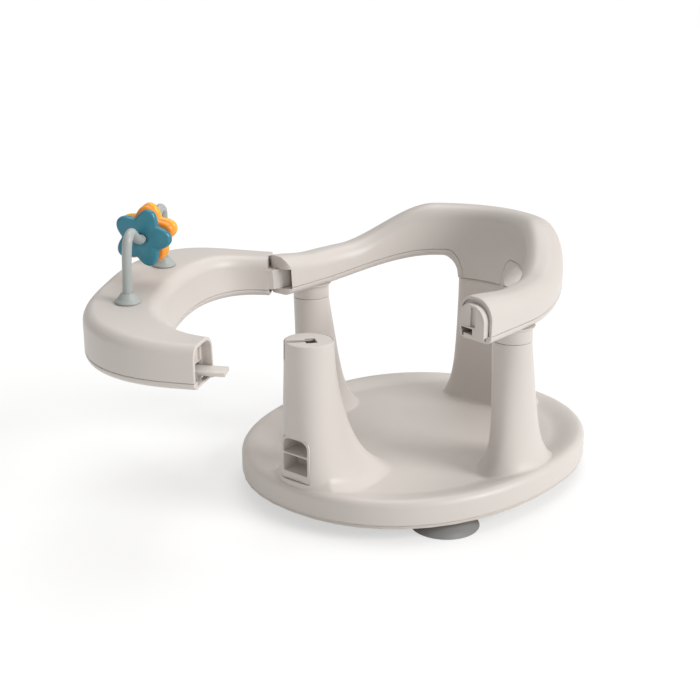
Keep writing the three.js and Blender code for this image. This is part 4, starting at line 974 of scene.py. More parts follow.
def cover_section(line, width, crown):
    """A shallow channel whose lip stands inside the shell above it."""
    draw = line["draw"]
    seam = line["seam"] - FIT_GAP
    edge = np.minimum(crown[2], seam - line["bottom"] - EDGE_SOFTNESS)
    step = WALL + SLIDE_GAP * 2
    lip = step + COVER_WALL
    rise = line["seam"] + COVER_LIP
    floor = line["bottom"] + COVER_WALL
    middle = line["bottom"] + edge
    path = [(EDGE_SOFTNESS + draw, seam), (draw, seam - EDGE_SOFTNESS)]
    path += arc(edge, middle, edge - draw, 180, 270, 8)
    path += arc(width - edge, middle, edge - draw, 270, 360, 8)
    path += [(width - draw, seam - EDGE_SOFTNESS), (width - EDGE_SOFTNESS - draw, seam)]
    path += [(width - step, seam), (width - step, rise), (width - lip, rise), (width - lip, floor)]
    return path + [(lip, floor), (lip, rise), (step, rise), (step, seam)]


def sweep(name, line, section, crown):
    """Draws a section, given as columns of distance and height, along a line of stations."""
    across, width = section_frame(line)
    path = section(line, width, crown)
    distance, height = (
        np.stack([np.broadcast_to(point[axis], width.shape) for point in path], axis=1) for axis in (0, 1)
    )
    plan = line["inner"][:, None, :] + across[:, None, :] * distance[:, :, None]
    return solid(name, [skin(np.concatenate([plan, height[:, :, None]], axis=2))])


def end_steps(edge, run, reverse=False):
    """Distances along an end and how far the skin is drawn in there, so that its rim is round."""
    near = edge * np.array([0, 0.1, 0.3, 0.6, 1.0])
    draw = edge - np.sqrt(np.maximum(edge**2 - (edge - near) ** 2, 0))
    far = np.linspace(edge, run, 24)[1:]
    place = np.concatenate([near, far])
    drawn = np.concatenate([draw, np.zeros(len(far))])
    return (place[::-1], drawn[::-1]) if reverse else (place, drawn)


# The ring

# Edge radius of the free ends, how far behind the hinge the left arm is solid, and the fork's nose:
# its reach ahead of the hinge and its corner's width and length
END_EDGE = 0.0007
FORK_BACK = 0.016
NOSE_REACH = 0.0115
NOSE_CORNER = (0.009, 0.006)

# The tray's knuckle in the hinge's own frame, its web's corners, and the pin
KNUCKLE = {
    "radius": 0.010,
    "low": -0.0126,
    "high": 0.008,
    "inner": (0.0182, -0.0065),
    "outer": (-0.016, -0.0115),
}
PIN = {"radius": 0.003, "low": -0.0185, "high": 0.015}

# How far the fork's cuts reach from the hinge
CUT_REACH = 0.040


def arm(ring, side, y, draw=None):
    """Stations along a straight arm; the right arm's end is cut askew."""
    share = (ring.centre - y) / (ring.centre - ring.end)
    skew = ring.skew * share if side > 0 else 0 * y
    plan = sides(side * ring.inner_half_width, side * (ring.inner_half_width + ring.width), y, skew)
    top = ring.crest + ring.end_rise * smooth(share)
    return stations(*plan, ring.bottom, ring.bottom + ring.seam, top, draw=draw)


# Degrees round the back, from each arm to the middle: where the arch and the shoulders end, where the
# back starts and how many it takes to rise, and the same of the foot over the rear post and its seam
ARCH_STOP = 60
BACK_START, BACK_RUN = 17, 42
FOOT_START, SEAM_START, FOOT_RUN = 65, 68, 8.5
SEAM_LIFT = 0.0014


def ring_back(ring):
    """Stations round the back: arms rise to shoulders, the back stands up and the underside arches."""
    degrees = np.concatenate([np.linspace(1, 62, 56), np.linspace(62.5, 76, 40), np.linspace(77, 90, 12)])
    degrees = np.concatenate([degrees, 180 - degrees[:-1][::-1]])
    turn = np.radians(degrees)
    cos, sin = np.cos(turn), np.sin(turn)
    wide = ring.inner_half_width + ring.width
    inner = np.column_stack([ring.inner_half_width * cos, ring.centre + ring.inner_depth * sin])
    outer = np.column_stack([wide * cos, ring.centre + ring.outer_depth * sin])
    mirrored = np.where(degrees > 90, 180 - degrees, degrees)
    shoulder = smooth(mirrored / ARCH_STOP)
    arch = ring.bottom + ring.arch * shoulder
    foot = turned_corner((mirrored - FOOT_START) / FOOT_RUN)
    rest = bpy.context.scene.bath_seat_base.rear_top + FIT_GAP
    lag = turned_corner((mirrored - SEAM_START) / FOOT_RUN)
    seam = arch + ring.seam + (rest + SEAM_LIFT - arch - ring.seam) * lag
    top = ring.crest + ring.shoulder * shoulder + ring.back * smooth((mirrored - BACK_START) / BACK_RUN)
    return stations(inner, outer, arch + (rest - arch) * foot, seam, top)


def ring_line(ring):
    """Stations from the right arm's rounded end round the back to the fork."""
    right, drawn = end_steps(END_EDGE, ring.centre - ring.end)
    left = np.linspace(ring.centre, fork_end(), 30)
    return joined_stations([arm(ring, 1, ring.end + right, drawn), ring_back(ring), arm(ring, -1, left)])


def fork_end():
    """Where the left arm's solid end starts, before its nose is cut."""
    return SWING["pos_m"][1] - NOSE_REACH - WALL


def fork_line(ring):
    """Stations of the left arm's solid end."""
    return arm(ring, -1, np.linspace(SWING["pos_m"][1] + FORK_BACK, fork_end(), 4))


def nose_outline(ring, opened, back):
    """Plan of the fork's nose: flat front, round inner corner, outer side cut back for the open tray."""
    half = ring.width / 2
    side = half + OVERRUN
    wide, long = NOSE_CORNER
    shoulder = long - NOSE_REACH
    points = [(side, back), (side, shoulder), (half, shoulder)]
    for turn in np.radians(np.linspace(-4, -90, 22)):
        points.append((half - wide + wide * math.cos(turn), shoulder + long * math.sin(turn)))
    stop = -math.pi / 2 - opened
    for turn in np.linspace(-math.pi / 2, stop, 30)[1:]:
        points.append((NOSE_REACH * math.cos(turn), NOSE_REACH * math.sin(turn)))
    touching = points[-1]
    points.append((touching[0] + math.sin(stop) * side, touching[1] - math.cos(stop) * side))
    points.append((-back, back))
    return points


def touch(corner, radius, turn):
    """Where a line from a corner touches a circle about the hinge, on one side or the other."""
    direction = math.atan2(corner[1], corner[0]) + turn * math.acos(radius / math.hypot(*corner))
    return np.array([math.cos(direction), math.sin(direction)]) * radius


def fork_cuts(ring, opened):
    """What is cut from a solid arm end: all in front of the nose, and the knuckle's room."""
    matrix = closed_frame()
    reach = CUT_REACH
    trim = block("trim", (-reach, -reach, -reach), (reach, ring.width / 2, reach), matrix)
    nose = prism("nose", nose_outline(ring, opened, reach), -reach - OVERRUN, reach + OVERRUN, matrix)
    combine(trim, [nose])
    radius = KNUCKLE["radius"] + SLIDE_GAP
    inner = touch(KNUCKLE["inner"], KNUCKLE["radius"], 1)
    outer = touch(KNUCKLE["outer"], KNUCKLE["radius"], -1)
    spin = np.array([[math.cos(opened), math.sin(opened)], [-math.sin(opened), math.cos(opened)]])
    outer = spin @ outer
    inner, outer = inner / np.linalg.norm(inner) * radius, outer / np.linalg.norm(outer) * radius
    inner_far = inner + np.array([inner[1], -inner[0]]) / radius * reach
    outer_far = outer + np.array([-outer[1], outer[0]]) / radius * reach
    low, high = KNUCKLE["low"] - FIT_GAP, KNUCKLE["high"] + FIT_GAP
    mouth = prism("mouth", [inner, inner_far, (-reach, -reach), outer_far, outer], low, high, matrix)
    room = prism("room", disc_outline(radius), low, high, matrix)
    return [trim, combine(room, [mouth], "UNION"), pin_bore(matrix)]


def pin_bore(matrix):
    """The hinge pin's bore, with its play."""
    outline = disc_outline(PIN["radius"] + FIT_GAP, 48)
    return prism("bore", outline, PIN["low"] - FIT_GAP, PIN["high"] + FIT_GAP, matrix)


class BATHSEAT_OT_ring(bpy.types.Operator):
    """Build the ring's upper shell and its lower cover with the collars"""

    bl_idname = "bathseat.ring"
    bl_label = "Ring"

    def execute(self, context):
        scene = context.scene
        ring, base, opened = scene.bath_seat_ring, scene.bath_seat_base, scene.bath_seat_tray.open_angle
        crown = (ring.inner_crown, ring.outer_crown, ring.edge)
        line, fork = ring_line(ring), fork_line(ring)
        shell = sweep("shell", line, shell_section, crown)
        combine(shell, [sweep("fork", fork, filled_section, crown)], "UNION")
        combine(shell, fork_cuts(ring, opened))
        finish_piece(shell, "ring_shell", "ring_top_shell")
        cover = sweep("cover", line, cover_section, crown)
        collars = [self.collar(base, ring, side) for side in (1, -1)]
        floor = sweep("fork floor", fork, self.fork_floor, crown)
        combine(cover, [*collars, floor], "UNION")
        wide = ring.inner_half_width + ring.width + OVERRUN
        seam = ring.bottom + ring.seam
        back = SWING["pos_m"][1] + FORK_BACK + SLIDE_GAP
        room = block("room", (-wide, fork_end() - OVERRUN, seam - FIT_GAP), (-0.1, back, seam + 0.009))
        low = (LATCH_LOW, ring.end - 0.013, ring.bottom + COVER_WALL)
        latch = block("latch room", low, (LATCH_HIGH, ring.end + 0.020, LATCH_TOP))
        combine(cover, [room, latch, *fork_cuts(ring, opened)])
        finish_piece(cover, "ring_cover", "ring_bottom_cover")
        return {"FINISHED"}

    def fork_floor(self, line, width, crown):
        """Solid lower part of the fork, up to the seam."""
        return cover_section(line, width, crown)[:-8]

    def collar(self, base, ring, side):
        """Round socket under an arm that the side post pushes into; its seam is a fine groove."""
        at = side_post(base, 128, side)
        rows = []
        start = base.side_post_top + FIT_GAP
        for inset, height in (
            (EDGE_SOFTNESS, start),
            (EDGE_SOFTNESS * 0.3, start + EDGE_SOFTNESS * 0.3),
            (0, start + EDGE_SOFTNESS),
            (0, ring.bottom - 0.004),
            (-0.0002, ring.bottom - 0.0022),
            (-0.0008, ring.bottom - 0.0009),
            (-0.0020, ring.bottom),
            (-0.0022, ring.bottom + COVER_WALL / 2),
        ):
            rows.append(level(*at(0.0, inset), height))
        return solid("collar", [skin(np.stack(rows))])


# The tray, drawn closed and then turned to where it stands open


# Exponents of the outlines of the tray's bay and front; the inner side's lean at the ends, and what
# the front adds to it
BAY_POWER, FRONT_POWER = 2.4, 2.8
END_LEAN, FRONT_LEAN = 0.0015, 0.0035

# The hole for the lever's tab along Y, and the room for the end walls in the cover
TAB_FRONT, TAB_BACK = -0.099, -0.0875
ROOM_INNER, ROOM_OUTER, ROOM_HEIGHT = 0.100, 0.155, 0.010

# How far behind the free end its inner wall stands, and the ribs on it: place and reach
WALL_BACK = 0.009
RIBS = ((0.1185, 0.0018), (0.1265, 0.0013))
RIB_HALF, RIB_LOW, RIB_INSET = 0.0008, 0.187, 0.004


def hinge_end():
    """Where the tray's hinge end stands when the tray is closed."""
    return SWING["pos_m"][1] - NOSE_REACH - SLIDE_GAP * 1.5


def tray_line(tray, ring):
    """Stations from the hinge end round the front to the free end, whose rim is rounded."""
    first = tray_end(tray, ring, -1, np.linspace(hinge_end() + WALL, tray.inner_centre - WALL, 5))
    ends = np.linspace(185, 200, 14), np.linspace(340, 355, 14)
    middle = tray_curve(tray, np.concatenate([ends[0], np.linspace(201.5, 338.5, 120), ends[1]]))
    free = ring.end - SLIDE_GAP
    place, drawn = end_steps(END_EDGE, 0.004, reverse=True)
    last = tray_end(tray, ring, 1, free - place, drawn)
    keep = middle["inner"][:, 1] < min(tray.inner_centre - 0.0015, free - 0.0042)
    middle = {key: value[keep] for key, value in middle.items()}
    return joined_stations([first, middle, last])


def tray_end(tray, ring, side, y, draw=None):
    """Stations along one of the tray's straight ends; the free end is cut askew as the arm's is."""
    skew = ring.skew if side > 0 else 0
    plan = sides(side * tray.inner_half_width, side * tray.outer_half_width, y, skew)
    top, lean = np.full(len(y), tray.crest), np.full(len(y), END_LEAN)
    return stations(*plan, tray.bottom, tray.bottom + tray.seam, top, lean, draw)


def tray_curve(tray, degrees):
    """Stations round the front between two superellipses, which rise towards the middle."""
    turn = np.radians(degrees)
    cos, sin = np.cos(turn), np.sin(turn)
    front = smooth(-sin * 1.4)
    plan = []
    for wide, centre, depth, exponent in (
        (tray.inner_half_width, tray.inner_centre, tray.inner_depth, BAY_POWER),
        (tray.outer_half_width, tray.outer_centre, tray.outer_depth, FRONT_POWER),
    ):
        across, along = power(cos, 2 / exponent), power(sin, 2 / exponent)
        plan.append(np.column_stack([wide * across, centre + depth * along]))
    top, lean = tray.crest + tray.rise * front, END_LEAN + FRONT_LEAN * front
    return stations(*plan, tray.bottom, tray.bottom + tray.seam, top, lean)


def knuckle(matrix):
    """Barrel about the pin with a web whose sides run from the tray's end to touch it."""
    back = -NOSE_REACH - SLIDE_GAP * 1.5 - WALL
    inner, outer = KNUCKLE["inner"], KNUCKLE["outer"]
    radius = KNUCKLE["radius"]
    touching = [touch(inner, radius, 1), touch(outer, radius, -1)]
    web = [(inner[0], back), inner, *touching, outer, (outer[0], back)]
    barrel = prism("barrel", disc_outline(radius), KNUCKLE["low"], KNUCKLE["high"], matrix)
    return combine(barrel, [prism("web", web, KNUCKLE["low"], KNUCKLE["high"], matrix)], "UNION")


class BATHSEAT_OT_tray(bpy.types.Operator):
    """Build the tray's upper shell and its lower cover"""

    bl_idname = "bathseat.tray"
    bl_label = "Tray"

    def execute(self, context):
        scene = context.scene
        tray, ring, toys = scene.bath_seat_tray, scene.bath_seat_ring, scene.bath_seat_toys
        crown = (tray.inner_crown, tray.outer_crown, tray.edge)
        line = tray_line(tray, ring)
        hinge, free = hinge_end(), ring.end - SLIDE_GAP
        matrix = closed_frame()
        shell = sweep("shell", line, shell_section, crown)
        hinge_wall = tray_end(tray, ring, -1, np.array([hinge + WALL, hinge - WALL * 2]))
        free_wall = tray_end(tray, ring, 1, np.array([free - WALL_BACK - WALL, free - WALL_BACK]))
        walls = [sweep("wall", part, filled_section, crown) for part in (hinge_wall, free_wall)]
        combine(shell, walls, "UNION")
        combine(shell, [self.hinge_cut(matrix, ring, hinge), self.latch_window(tray, free)])
        combine(shell, [knuckle(matrix), *self.ribs(tray, ring, free)], "UNION")
        holes = [pin_bore(matrix)]
        for side in (1, -1):
            hole = disc_outline(toys.bar_radius + FIT_GAP, 64, (side * toys.foot_x, toys.foot_y))
            holes.append(prism("socket", hole, tray.crest - 0.012, tray.crest + 0.010))
        combine(shell, holes)
        shell.data.transform(opening(tray))
        finish_piece(shell, "tray_shell", "tray_top_shell")
        cover = sweep("cover", line, cover_section, crown)
        combine(cover, self.cover_cuts(tray, ring, matrix, hinge, free))
        cover.data.transform(opening(tray))
        finish_piece(cover, "tray_cover", "tray_bottom_cover")
        return {"FINISHED"}

    def cover_cuts(self, tray, ring, matrix, hinge, free):
        """Holes for the key and the lever's tab, and room for the walls at both ends."""
        radius, degrees = key_place()
        outline = band(radius, KEY_SLOT[0], degrees - 3.2, degrees + 3.2)
        seam = tray.bottom + tray.seam - FIT_GAP
        room_top = seam + ROOM_HEIGHT
        tab_low, tab_high = tray.bottom - OVERRUN, tray.bottom + OVERRUN
        return [
            self.hinge_cut(matrix, ring, hinge),
            self.latch_window(tray, free),
            prism("key hole", outline, -0.030, -0.005, matrix),
            block("tab hole", (LATCH_LOW, TAB_FRONT, tab_low), (LATCH_HIGH, TAB_BACK, tab_high)),
            block("room", (-ROOM_OUTER, hinge - 0.009, seam), (-ROOM_INNER, hinge + 0.0124, room_top)),
            block("room", (ROOM_INNER, free - 0.0196, seam), (ROOM_OUTER, free + OVERRUN, room_top)),
        ]

    def hinge_cut(self, matrix, ring, hinge):
        """All that lies behind the hinge end."""
        reach = ring.width
        return block("cut", (-reach, hinge - SWING["pos_m"][1], -reach), (reach, reach, reach), matrix)

    def latch_window(self, tray, free):
        """The lever's room in the free end."""
        low = (LATCH_LOW, free - WALL_BACK * 2, tray.bottom + COVER_WALL + FIT_GAP)
        return block("window", low, (LATCH_HIGH, free + OVERRUN, 0.1846))

    def ribs(self, tray, ring, free):
        """Upright ribs on the free end's inner wall, each as far back as the slanted end is there."""
        made = []
        for x, reach in RIBS:
            wall = free - WALL_BACK - ring.skew * (x - ring.inner_half_width) / ring.width
            low = (x - RIB_HALF, wall - 0.0005, RIB_LOW)
            made.append(block("rib", low, (x + RIB_HALF, wall + reach, tray.crest - RIB_INSET)))
        return made


# Small parts taken over from the frame with softened edges


# What merges a part's loose triangles: a distance and an angle in degrees
MERGE_DISTANCE, FLAT_DEGREES = 2e-6, 0.5

# The latch receiver: its back, its lower edge's radius, its face and flange from the arm's end, the
# slot's and the hook room's heights, and its face's recesses as two sides along X and a depth
RECEIVER_BACK = -0.052
PLUG_EDGE = 0.0025
FACE_NOSE, FLANGE_FRONT, FLANGE_BACK = 0.007, 0.0012, 0.0042
SLOT_LOW, SLOT_HIGH, HOOK_LOW = 0.1756, 0.183, 0.1737
RECESSES = ((0.1140, 0.1262, 0.0007), (0.1262, 0.1328, 0.0034))
RECESS_LOW, RECESS_HIGH = 0.1845, 0.2030


def refined(node, piece, soften):
    """Copies a frame part, merges its loose triangles into flat faces and softens its edges."""
    data = frame["nodes"][node].data.copy()
    made = bpy.data.objects.new(piece, data)
    bpy.context.scene.collection.objects.link(made)
    work = bmesh.new()
    work.from_mesh(data)
    bmesh.ops.remove_doubles(work, verts=work.verts, dist=MERGE_DISTANCE)
    bmesh.ops.dissolve_limit(
        work,
        angle_limit=math.radians(FLAT_DEGREES),
        use_dissolve_boundaries=False,
        verts=work.verts,
        edges=work.edges,
    )
    work.to_mesh(data)
    work.free()
    finish_piece(made, piece, node, soften)


class BATHSEAT_OT_fittings(bpy.types.Operator):
    """Soften the latch and the docking key, build the receiver, and finish the metal parts and the plate"""

    bl_idname = "bathseat.fittings"
    bl_label = "Latch, key and pins"

    def execute(self, context):
        refined("latch_lever", "latch_tongue", 0.0005)
        self.receiver(context.scene.bath_seat_ring, context.scene.bath_seat_tray)
        refined("docking_key", "tray_key", 0.0003)
        for node, slot in SLOTS.items():
            if slot in ("steel", "under_plastic"):
                data = frame["nodes"][node].data
                data.materials.clear()
                data.materials.append(moulded(slot))
        return {"FINISHED"}

    def receiver(self, ring, tray):
        """The plug with a flange that fills the arm's mouth and a grooved, recessed face."""
        arm_top = ring.crest + ring.end_rise
        hidden = WALL + SLIDE_GAP * 2 + COVER_WALL + FIT_GAP
        snug = WALL + FIT_GAP
        proud = WALL + SLIDE_GAP * 1.5
        front, back = ring.end + FLANGE_FRONT, ring.end + FLANGE_BACK
        face = ring.end - FACE_NOSE
        floor = ring.bottom + COVER_WALL + FIT_GAP
        made = self.plug(ring, hidden, ring.end - WALL, RECEIVER_BACK, floor, arm_top - hidden)
        floor = ring.bottom + ring.seam + COVER_LIP + FIT_GAP
        flange = self.plug(ring, snug, front, back, floor, arm_top - snug)
        floor = tray.bottom + tray.seam + FIT_GAP
        nose = self.plug(ring, proud, face, front, floor, tray.crest - proud, END_LEAN)
        combine(made, [flange, nose], "UNION")
        before = face - 0.02
        cuts = [
            block("slot", (LATCH_LOW, before, SLOT_LOW), (LATCH_HIGH, RECEIVER_BACK + OVERRUN, SLOT_HIGH)),
            block("hook room", (LATCH_LOW, ring.end, HOOK_LOW), (LATCH_HIGH, ring.end + 0.020, LATCH_TOP)),
        ]
        for low, high, depth in RECESSES:
            slant = [face - ring.skew * (x - ring.inner_half_width) / ring.width + depth for x in (low, high)]
            outline = [(low, before), (high, before), (high, slant[1]), (low, slant[0])]
            cuts.append(prism("recess", outline, RECESS_LOW, RECESS_HIGH))
        combine(made, cuts)
        finish_piece(made, "arm_receiver", "latch_receiver", 0.0004)

    def plug(self, ring, inset, front, back, bottom, top, lean=0.0):
        """A crowned bar that follows the arm's skewed end, drawn in by an inset."""
        near, far = ring.inner_half_width + inset, ring.inner_half_width + ring.width - inset
        plan = sides(near, far, np.array([front, back]), ring.skew)
        line = stations(*plan, bottom, bottom, np.full(2, top), np.full(2, lean))
        crown = (ring.inner_crown - inset, ring.outer_crown - inset, PLUG_EDGE)
        return sweep("plug", line, full_section, crown)


# Toy bar and flowers


def centripetal(points, count):
    """Catmull and Rom's curve through points, spaced by the square roots of their distances."""
    points = np.asarray(points, float)
    ends = np.concatenate([[2 * points[0] - points[1]], points, [2 * points[-1] - points[-2]]])
    steps = np.maximum(np.linalg.norm(np.diff(ends, axis=0), axis=1) ** 0.5, 1e-9)
    out = []
    for index in range(len(points) - 1):
        p0, p1, p2, p3 = ends[index : index + 4]
        d0, d1, d2 = steps[index : index + 3]
        t1 = ((p1 - p0) / d0 - (p2 - p0) / (d0 + d1) + (p2 - p1) / d1) * d1
        t2 = ((p2 - p1) / d1 - (p3 - p1) / (d1 + d2) + (p3 - p2) / d2) * d1
        share = np.linspace(0, 1, count, endpoint=False)[:, None]
        square = -3 * p1 + 3 * p2 - 2 * t1 - t2
        cube = 2 * p1 - 2 * p2 + t1 + t2
        out.append(p1 + t1 * share + square * share**2 + cube * share**3)
    return np.concatenate([*out, points[-1:]])


def tube(name, path, radius, steps=40):
    """A round bar along a path that lies near one upright plane, its ends closed flat."""
    tangent = np.gradient(path, axis=0)
    tangent /= np.linalg.norm(tangent, axis=1)[:, None]
    side = np.cross(tangent, np.array([0, 1.0, 0]))
    side /= np.linalg.norm(side, axis=1)[:, None]
    other = np.cross(tangent, side)
    turn = np.linspace(0, 2 * np.pi, steps, endpoint=False)[None, :, None]
    rows = path[:, None, :] + radius * (np.cos(turn) * side[:, None, :] + np.sin(turn) * other[:, None, :])
    return solid(name, [skin(rows)])


# The bar: height of its straight legs, half widths of its bends and of its level part, how deep it
# stands in the tray, and how far it leans back on its way up
LEG_TOP = 0.046
BEND_X = 0.045
FLAT_X = 0.019
SOCKET_DEPTH = 0.006
BAR_LEAN = 0.002


def bar_lean(toys, height):
    """How far the bar leans at a height above the tray."""
    share = (height - toys.foot_height) / (toys.bar_height - toys.foot_height)
    return BAR_LEAN * max(share, 0)


def bar_path(toys, tray):
    """The bar's middle line: two legs, two bends and a dip that carries the flowers."""
    leg = [
        (toys.foot_x, -SOCKET_DEPTH),
        (toys.foot_x, toys.foot_height / 2),
        (toys.foot_x, toys.foot_height),
        (toys.foot_x, LEG_TOP / 2),
        (toys.foot_x, LEG_TOP),
        (BEND_X + (toys.foot_x - BEND_X) * 0.75, toys.bar_height - (toys.bar_height - LEG_TOP) / 4),
        (BEND_X, toys.bar_height),
        ((BEND_X + FLAT_X) / 2, toys.bar_height - toys.bar_dip * 0.55),
        (FLAT_X, toys.bar_height - toys.bar_dip),
        (FLAT_X / 3, toys.bar_height - toys.bar_dip),
    ]
    both = leg + [(-x, z) for x, z in leg[::-1]]
    floor = tray.crest + tray.rise + FIT_GAP
    points = [(x, toys.foot_y + bar_lean(toys, z), floor + z) for x, z in both]
    return centripetal(points, 14)


# A flower's round edge, the pillow of its faces and the play of its bore there
PETAL_EDGE = 0.0038
PILLOW = 0.0006
BORE_EDGE = 0.0004


def flower_grid(toys, steps=240):
    """Rows of a flower across the bar, in a loop from one bore edge over both faces to the other.

    Five petals reach from the valley to the tip by the 0.75th power of (1 + cos 5 turn) / 2, the faces
    rise to a pillow by a sine, and the edge is an arc. The flower's thickness runs along X.
    """
    turn = np.linspace(0, 2 * np.pi, steps, endpoint=False)
    reach = toys.valley + (toys.tip - toys.valley) * ((1 + np.cos(5 * turn)) / 2) ** 0.75
    bore = np.full(steps, toys.bar_radius + SLIDE_GAP)
    face = toys.thickness / 2 - PILLOW
    half = [(bore, face * 0.9)]
    for share in (0.02, 0.2, 0.4, 0.6, 0.8, 0.93):
        radius = bore + BORE_EDGE + (reach - PETAL_EDGE - bore) * share
        half.append((radius, face + PILLOW * math.sin(math.pi * min(share * 1.1, 1))))
    half += arc(reach - PETAL_EDGE, face - PETAL_EDGE, PETAL_EDGE, 90, 0, 9)
    loop = [(radius, -x) for radius, x in half] + half[::-1]
    cos, sin = np.cos(turn), np.sin(turn)
    return np.stack([np.column_stack([np.full(steps, x), radius * cos, radius * sin]) for radius, x in loop])


class BATHSEAT_OT_toys(bpy.types.Operator):
    """Build the toy bar, its feet and the three flowers"""

    bl_idname = "bathseat.toys"
    bl_label = "Toy bar and flowers"

    def execute(self, context):
        scene = context.scene
        toys, tray = scene.bath_seat_toys, scene.bath_seat_tray
        turned = opening(tray)
        bar = tube("bar", bar_path(toys, tray), toys.bar_radius)
        bar.data.transform(turned)
        finish_piece(bar, "toy_arch", "toy_bar")
        for side, end in ((1, "left"), (-1, "right")):
            foot = self.foot(toys, tray, side)
            foot.data.transform(turned)
            finish_piece(foot, f"toy_cone_{end}", f"toy_foot_{end}")
        height = toys.bar_height - toys.bar_dip
        middle = (toys.foot_y + bar_lean(toys, height), tray.crest + tray.rise + FIT_GAP + height)
        grid = flower_grid(toys)
        for tint, step, degrees in (("teal", 1, 0), ("orange", 0, 13), ("yellow", -1, 13)):
            made = solid("flower", [closed_tube(grid)])
            place = Matrix.Translation((step * toys.spacing, *middle))
            made.data.transform(turned @ place @ Matrix.Rotation(math.radians(degrees), 4, "X"))
            finish_piece(made, f"{tint}_flower", f"flower_{tint}")
        return {"FINISHED"}

    def foot(self, toys, tray, side):
        """A cone with a flat rim that the bar stands in."""
        bore, low = toys.bar_radius + 0.0001, tray.crest + tray.rise + FIT_GAP
        profile = [
            (bore, 0),
            (toys.foot_radius, 0),
            (toys.foot_radius, 0.0016),
            (toys.foot_radius * 0.80, 0.0036),
            (0.0060, toys.foot_height - 0.0004),
            (0.0052, toys.foot_height),
            (bore, toys.foot_height),
        ]
        profile = [(radius, low + height) for radius, height in rounded(profile, 0.0008)]
        return solid("foot", [closed_tube(revolved(profile, (side * toys.foot_x, toys.foot_y)))])


# The studio


# The sun lamps: name, place, strength and angle; the sky's strength; the camera's place, view and lens
SUNS = (("Key", (1.7, 0.45, 1.05), 2.3, 30), ("Top", (-0.15, 0.5, 1.5), 1.2, 45))
SKY = 0.47
CAMERA_PLACE = (0.66680, -0.91595, 0.47763)
CAMERA_VIEW = (-0.60563, 0.73469, -0.30570)
CAMERA_LENS = 58.27

# The floor: radii of its rows, how strongly it glows, and the glow's share of what the camera sees
FLOOR_RADII = (0.4, 1.0, 2.5, 6.0, 14.0)
FLOOR_GLOW, FLOOR_SHARE = 1.03, 0.53


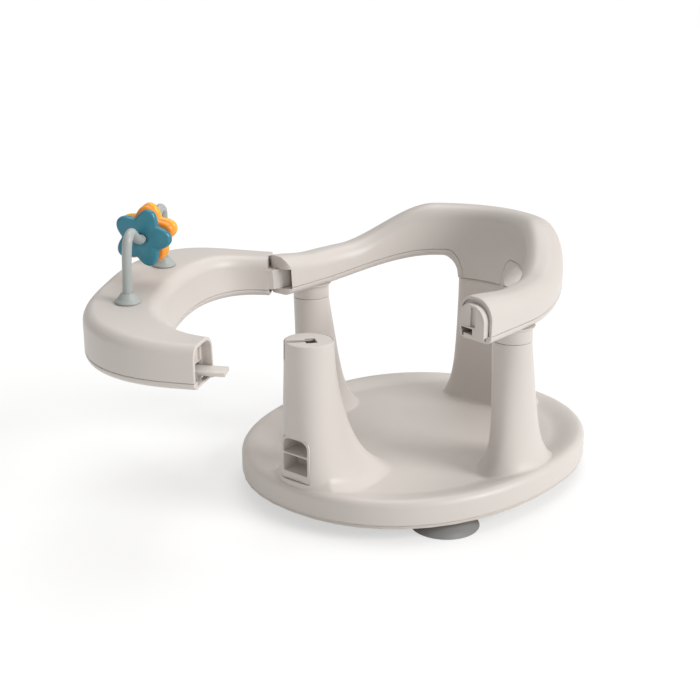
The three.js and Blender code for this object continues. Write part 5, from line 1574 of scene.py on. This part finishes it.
class BATHSEAT_OT_stage(bpy.types.Operator):
    """Build the floor, the lights and the camera"""

    bl_idname = "bathseat.stage"
    bl_label = "Stage"

    def execute(self, context):
        scene = context.scene
        low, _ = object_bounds()
        floor = self.floor(low[2])
        floor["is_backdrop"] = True
        self.world(scene)
        target = Vector((0.0, -0.02, 0.12))
        for name, place, strength, degrees in SUNS:
            data = bpy.data.lights.new(name, "SUN")
            data.energy = strength
            data.angle = math.radians(degrees)
            made = bpy.data.objects.new(name, data)
            made.rotation_euler = (target - Vector(place)).to_track_quat("-Z", "Y").to_euler()
            scene.collection.objects.link(made)
        self.camera(scene)
        scene.view_settings.view_transform = "Standard"
        return {"FINISHED"}

    def floor(self, height):
        """A wide round floor that is white to the camera and keeps a faint shadow."""
        rows = [level(*disc_outline(radius, 96).T, height) for radius in FLOOR_RADII[::-1]]
        points, faces = skin(np.stack(rows), pole_last=(0, 0, height))
        data = bpy.data.meshes.new("floor")
        data.from_pydata(points, [], [face for face in faces if len(face) < 5])
        made = bpy.data.objects.new("floor", data)
        bpy.context.scene.collection.objects.link(made)
        data.materials.append(self.floor_material())
        return made

    def floor_material(self):
        """A matt white that takes the shadow, mixed for the camera with a white that glows."""
        made = bpy.data.materials.new("Floor")
        made.use_nodes = True
        tree = made.node_tree
        tree.nodes.clear()
        out = add_node(tree, "OutputMaterial")
        matt = add_node(tree, "BsdfDiffuse", {"Color": (0.9, 0.9, 0.9, 1)})
        glow = add_node(tree, "Emission", {"Color": (1, 1, 1, 1), "Strength": FLOOR_GLOW})
        path = add_node(tree, "LightPath")
        seen = add_node(tree, "Math", operation="MAXIMUM")
        share = add_node(tree, "Math", {1: FLOOR_SHARE}, operation="MULTIPLY")
        mix = add_node(tree, "MixShader")
        wire(
            tree,
            (path.outputs["Is Camera Ray"], seen.inputs[0]),
            (path.outputs["Is Transmission Ray"], seen.inputs[1]),
            (seen.outputs[0], share.inputs[0]),
            (share.outputs[0], mix.inputs["Fac"]),
            (matt.outputs[0], mix.inputs[1]),
            (glow.outputs[0], mix.inputs[2]),
            (mix.outputs[0], out.inputs["Surface"]),
        )
        return made

    def world(self, scene):
        """White to the camera, and a softer white for light."""
        world = bpy.data.worlds.new("Studio")
        scene.world = world
        world.use_nodes = True
        tree = world.node_tree
        tree.nodes.clear()
        out = add_node(tree, "OutputWorld")
        seen = add_node(tree, "Background", {"Color": (1, 1, 1, 1)})
        light = add_node(tree, "Background", {"Color": (1.0, 0.985, 0.965, 1), "Strength": SKY})
        path = add_node(tree, "LightPath")
        mix = add_node(tree, "MixShader")
        wire(
            tree,
            (path.outputs["Is Camera Ray"], mix.inputs["Fac"]),
            (light.outputs[0], mix.inputs[1]),
            (seen.outputs[0], mix.inputs[2]),
            (mix.outputs[0], out.inputs["Surface"]),
        )

    def camera(self, scene):
        """Stands where the photograph's camera stood."""
        data = bpy.data.cameras.new("Camera")
        data.lens = CAMERA_LENS
        data.sensor_width = 36
        made = bpy.data.objects.new("Camera", data)
        scene.collection.objects.link(made)
        forward = Vector(CAMERA_VIEW).normalized()
        right = forward.cross(Vector((0, 0, 1))).normalized()
        turn = Matrix((right, right.cross(forward), -forward)).transposed()
        made.matrix_world = Matrix.Translation(CAMERA_PLACE) @ turn.to_4x4()
        scene.camera = made


OPERATORS = (
    BATHSEAT_OT_base,
    BATHSEAT_OT_cups,
    BATHSEAT_OT_ring,
    BATHSEAT_OT_tray,
    BATHSEAT_OT_fittings,
    BATHSEAT_OT_toys,
    BATHSEAT_OT_stage,
)


class BATHSEAT_PT_panel(bpy.types.Panel):
    """Lists the builders and the sizes they read"""

    bl_idname = "BATHSEAT_PT_panel"
    bl_label = "Baby bath seat"
    bl_space_type = "VIEW_3D"
    bl_region_type = "UI"
    bl_category = "Bath seat"

    def draw(self, context):
        for operator in OPERATORS:
            self.layout.operator(operator.bl_idname)
        for attribute in GROUPS:
            group = getattr(context.scene, attribute)
            box = self.layout.box()
            for field in group.__annotations__:
                box.prop(group, field)


def register():
    """Adds the sizes, the operators and the panel."""
    for group in GROUPS.values():
        bpy.utils.register_class(group)
    for attribute, group in GROUPS.items():
        setattr(bpy.types.Scene, attribute, bpy.props.PointerProperty(type=group))
    for operator in OPERATORS:
        bpy.utils.register_class(operator)
    bpy.utils.register_class(BATHSEAT_PT_panel)


def unregister():
    """Takes them away again."""
    bpy.utils.unregister_class(BATHSEAT_PT_panel)
    for operator in reversed(OPERATORS):
        bpy.utils.unregister_class(operator)
    for attribute in GROUPS:
        delattr(bpy.types.Scene, attribute)
    for group in reversed(list(GROUPS.values())):
        bpy.utils.unregister_class(group)


def main():
    """Builds everything in order."""
    register()
    for operator in OPERATORS:
        family, name = operator.bl_idname.split(".")
        getattr(getattr(bpy.ops, family), name)()


if __name__ == "__main__":
    main()
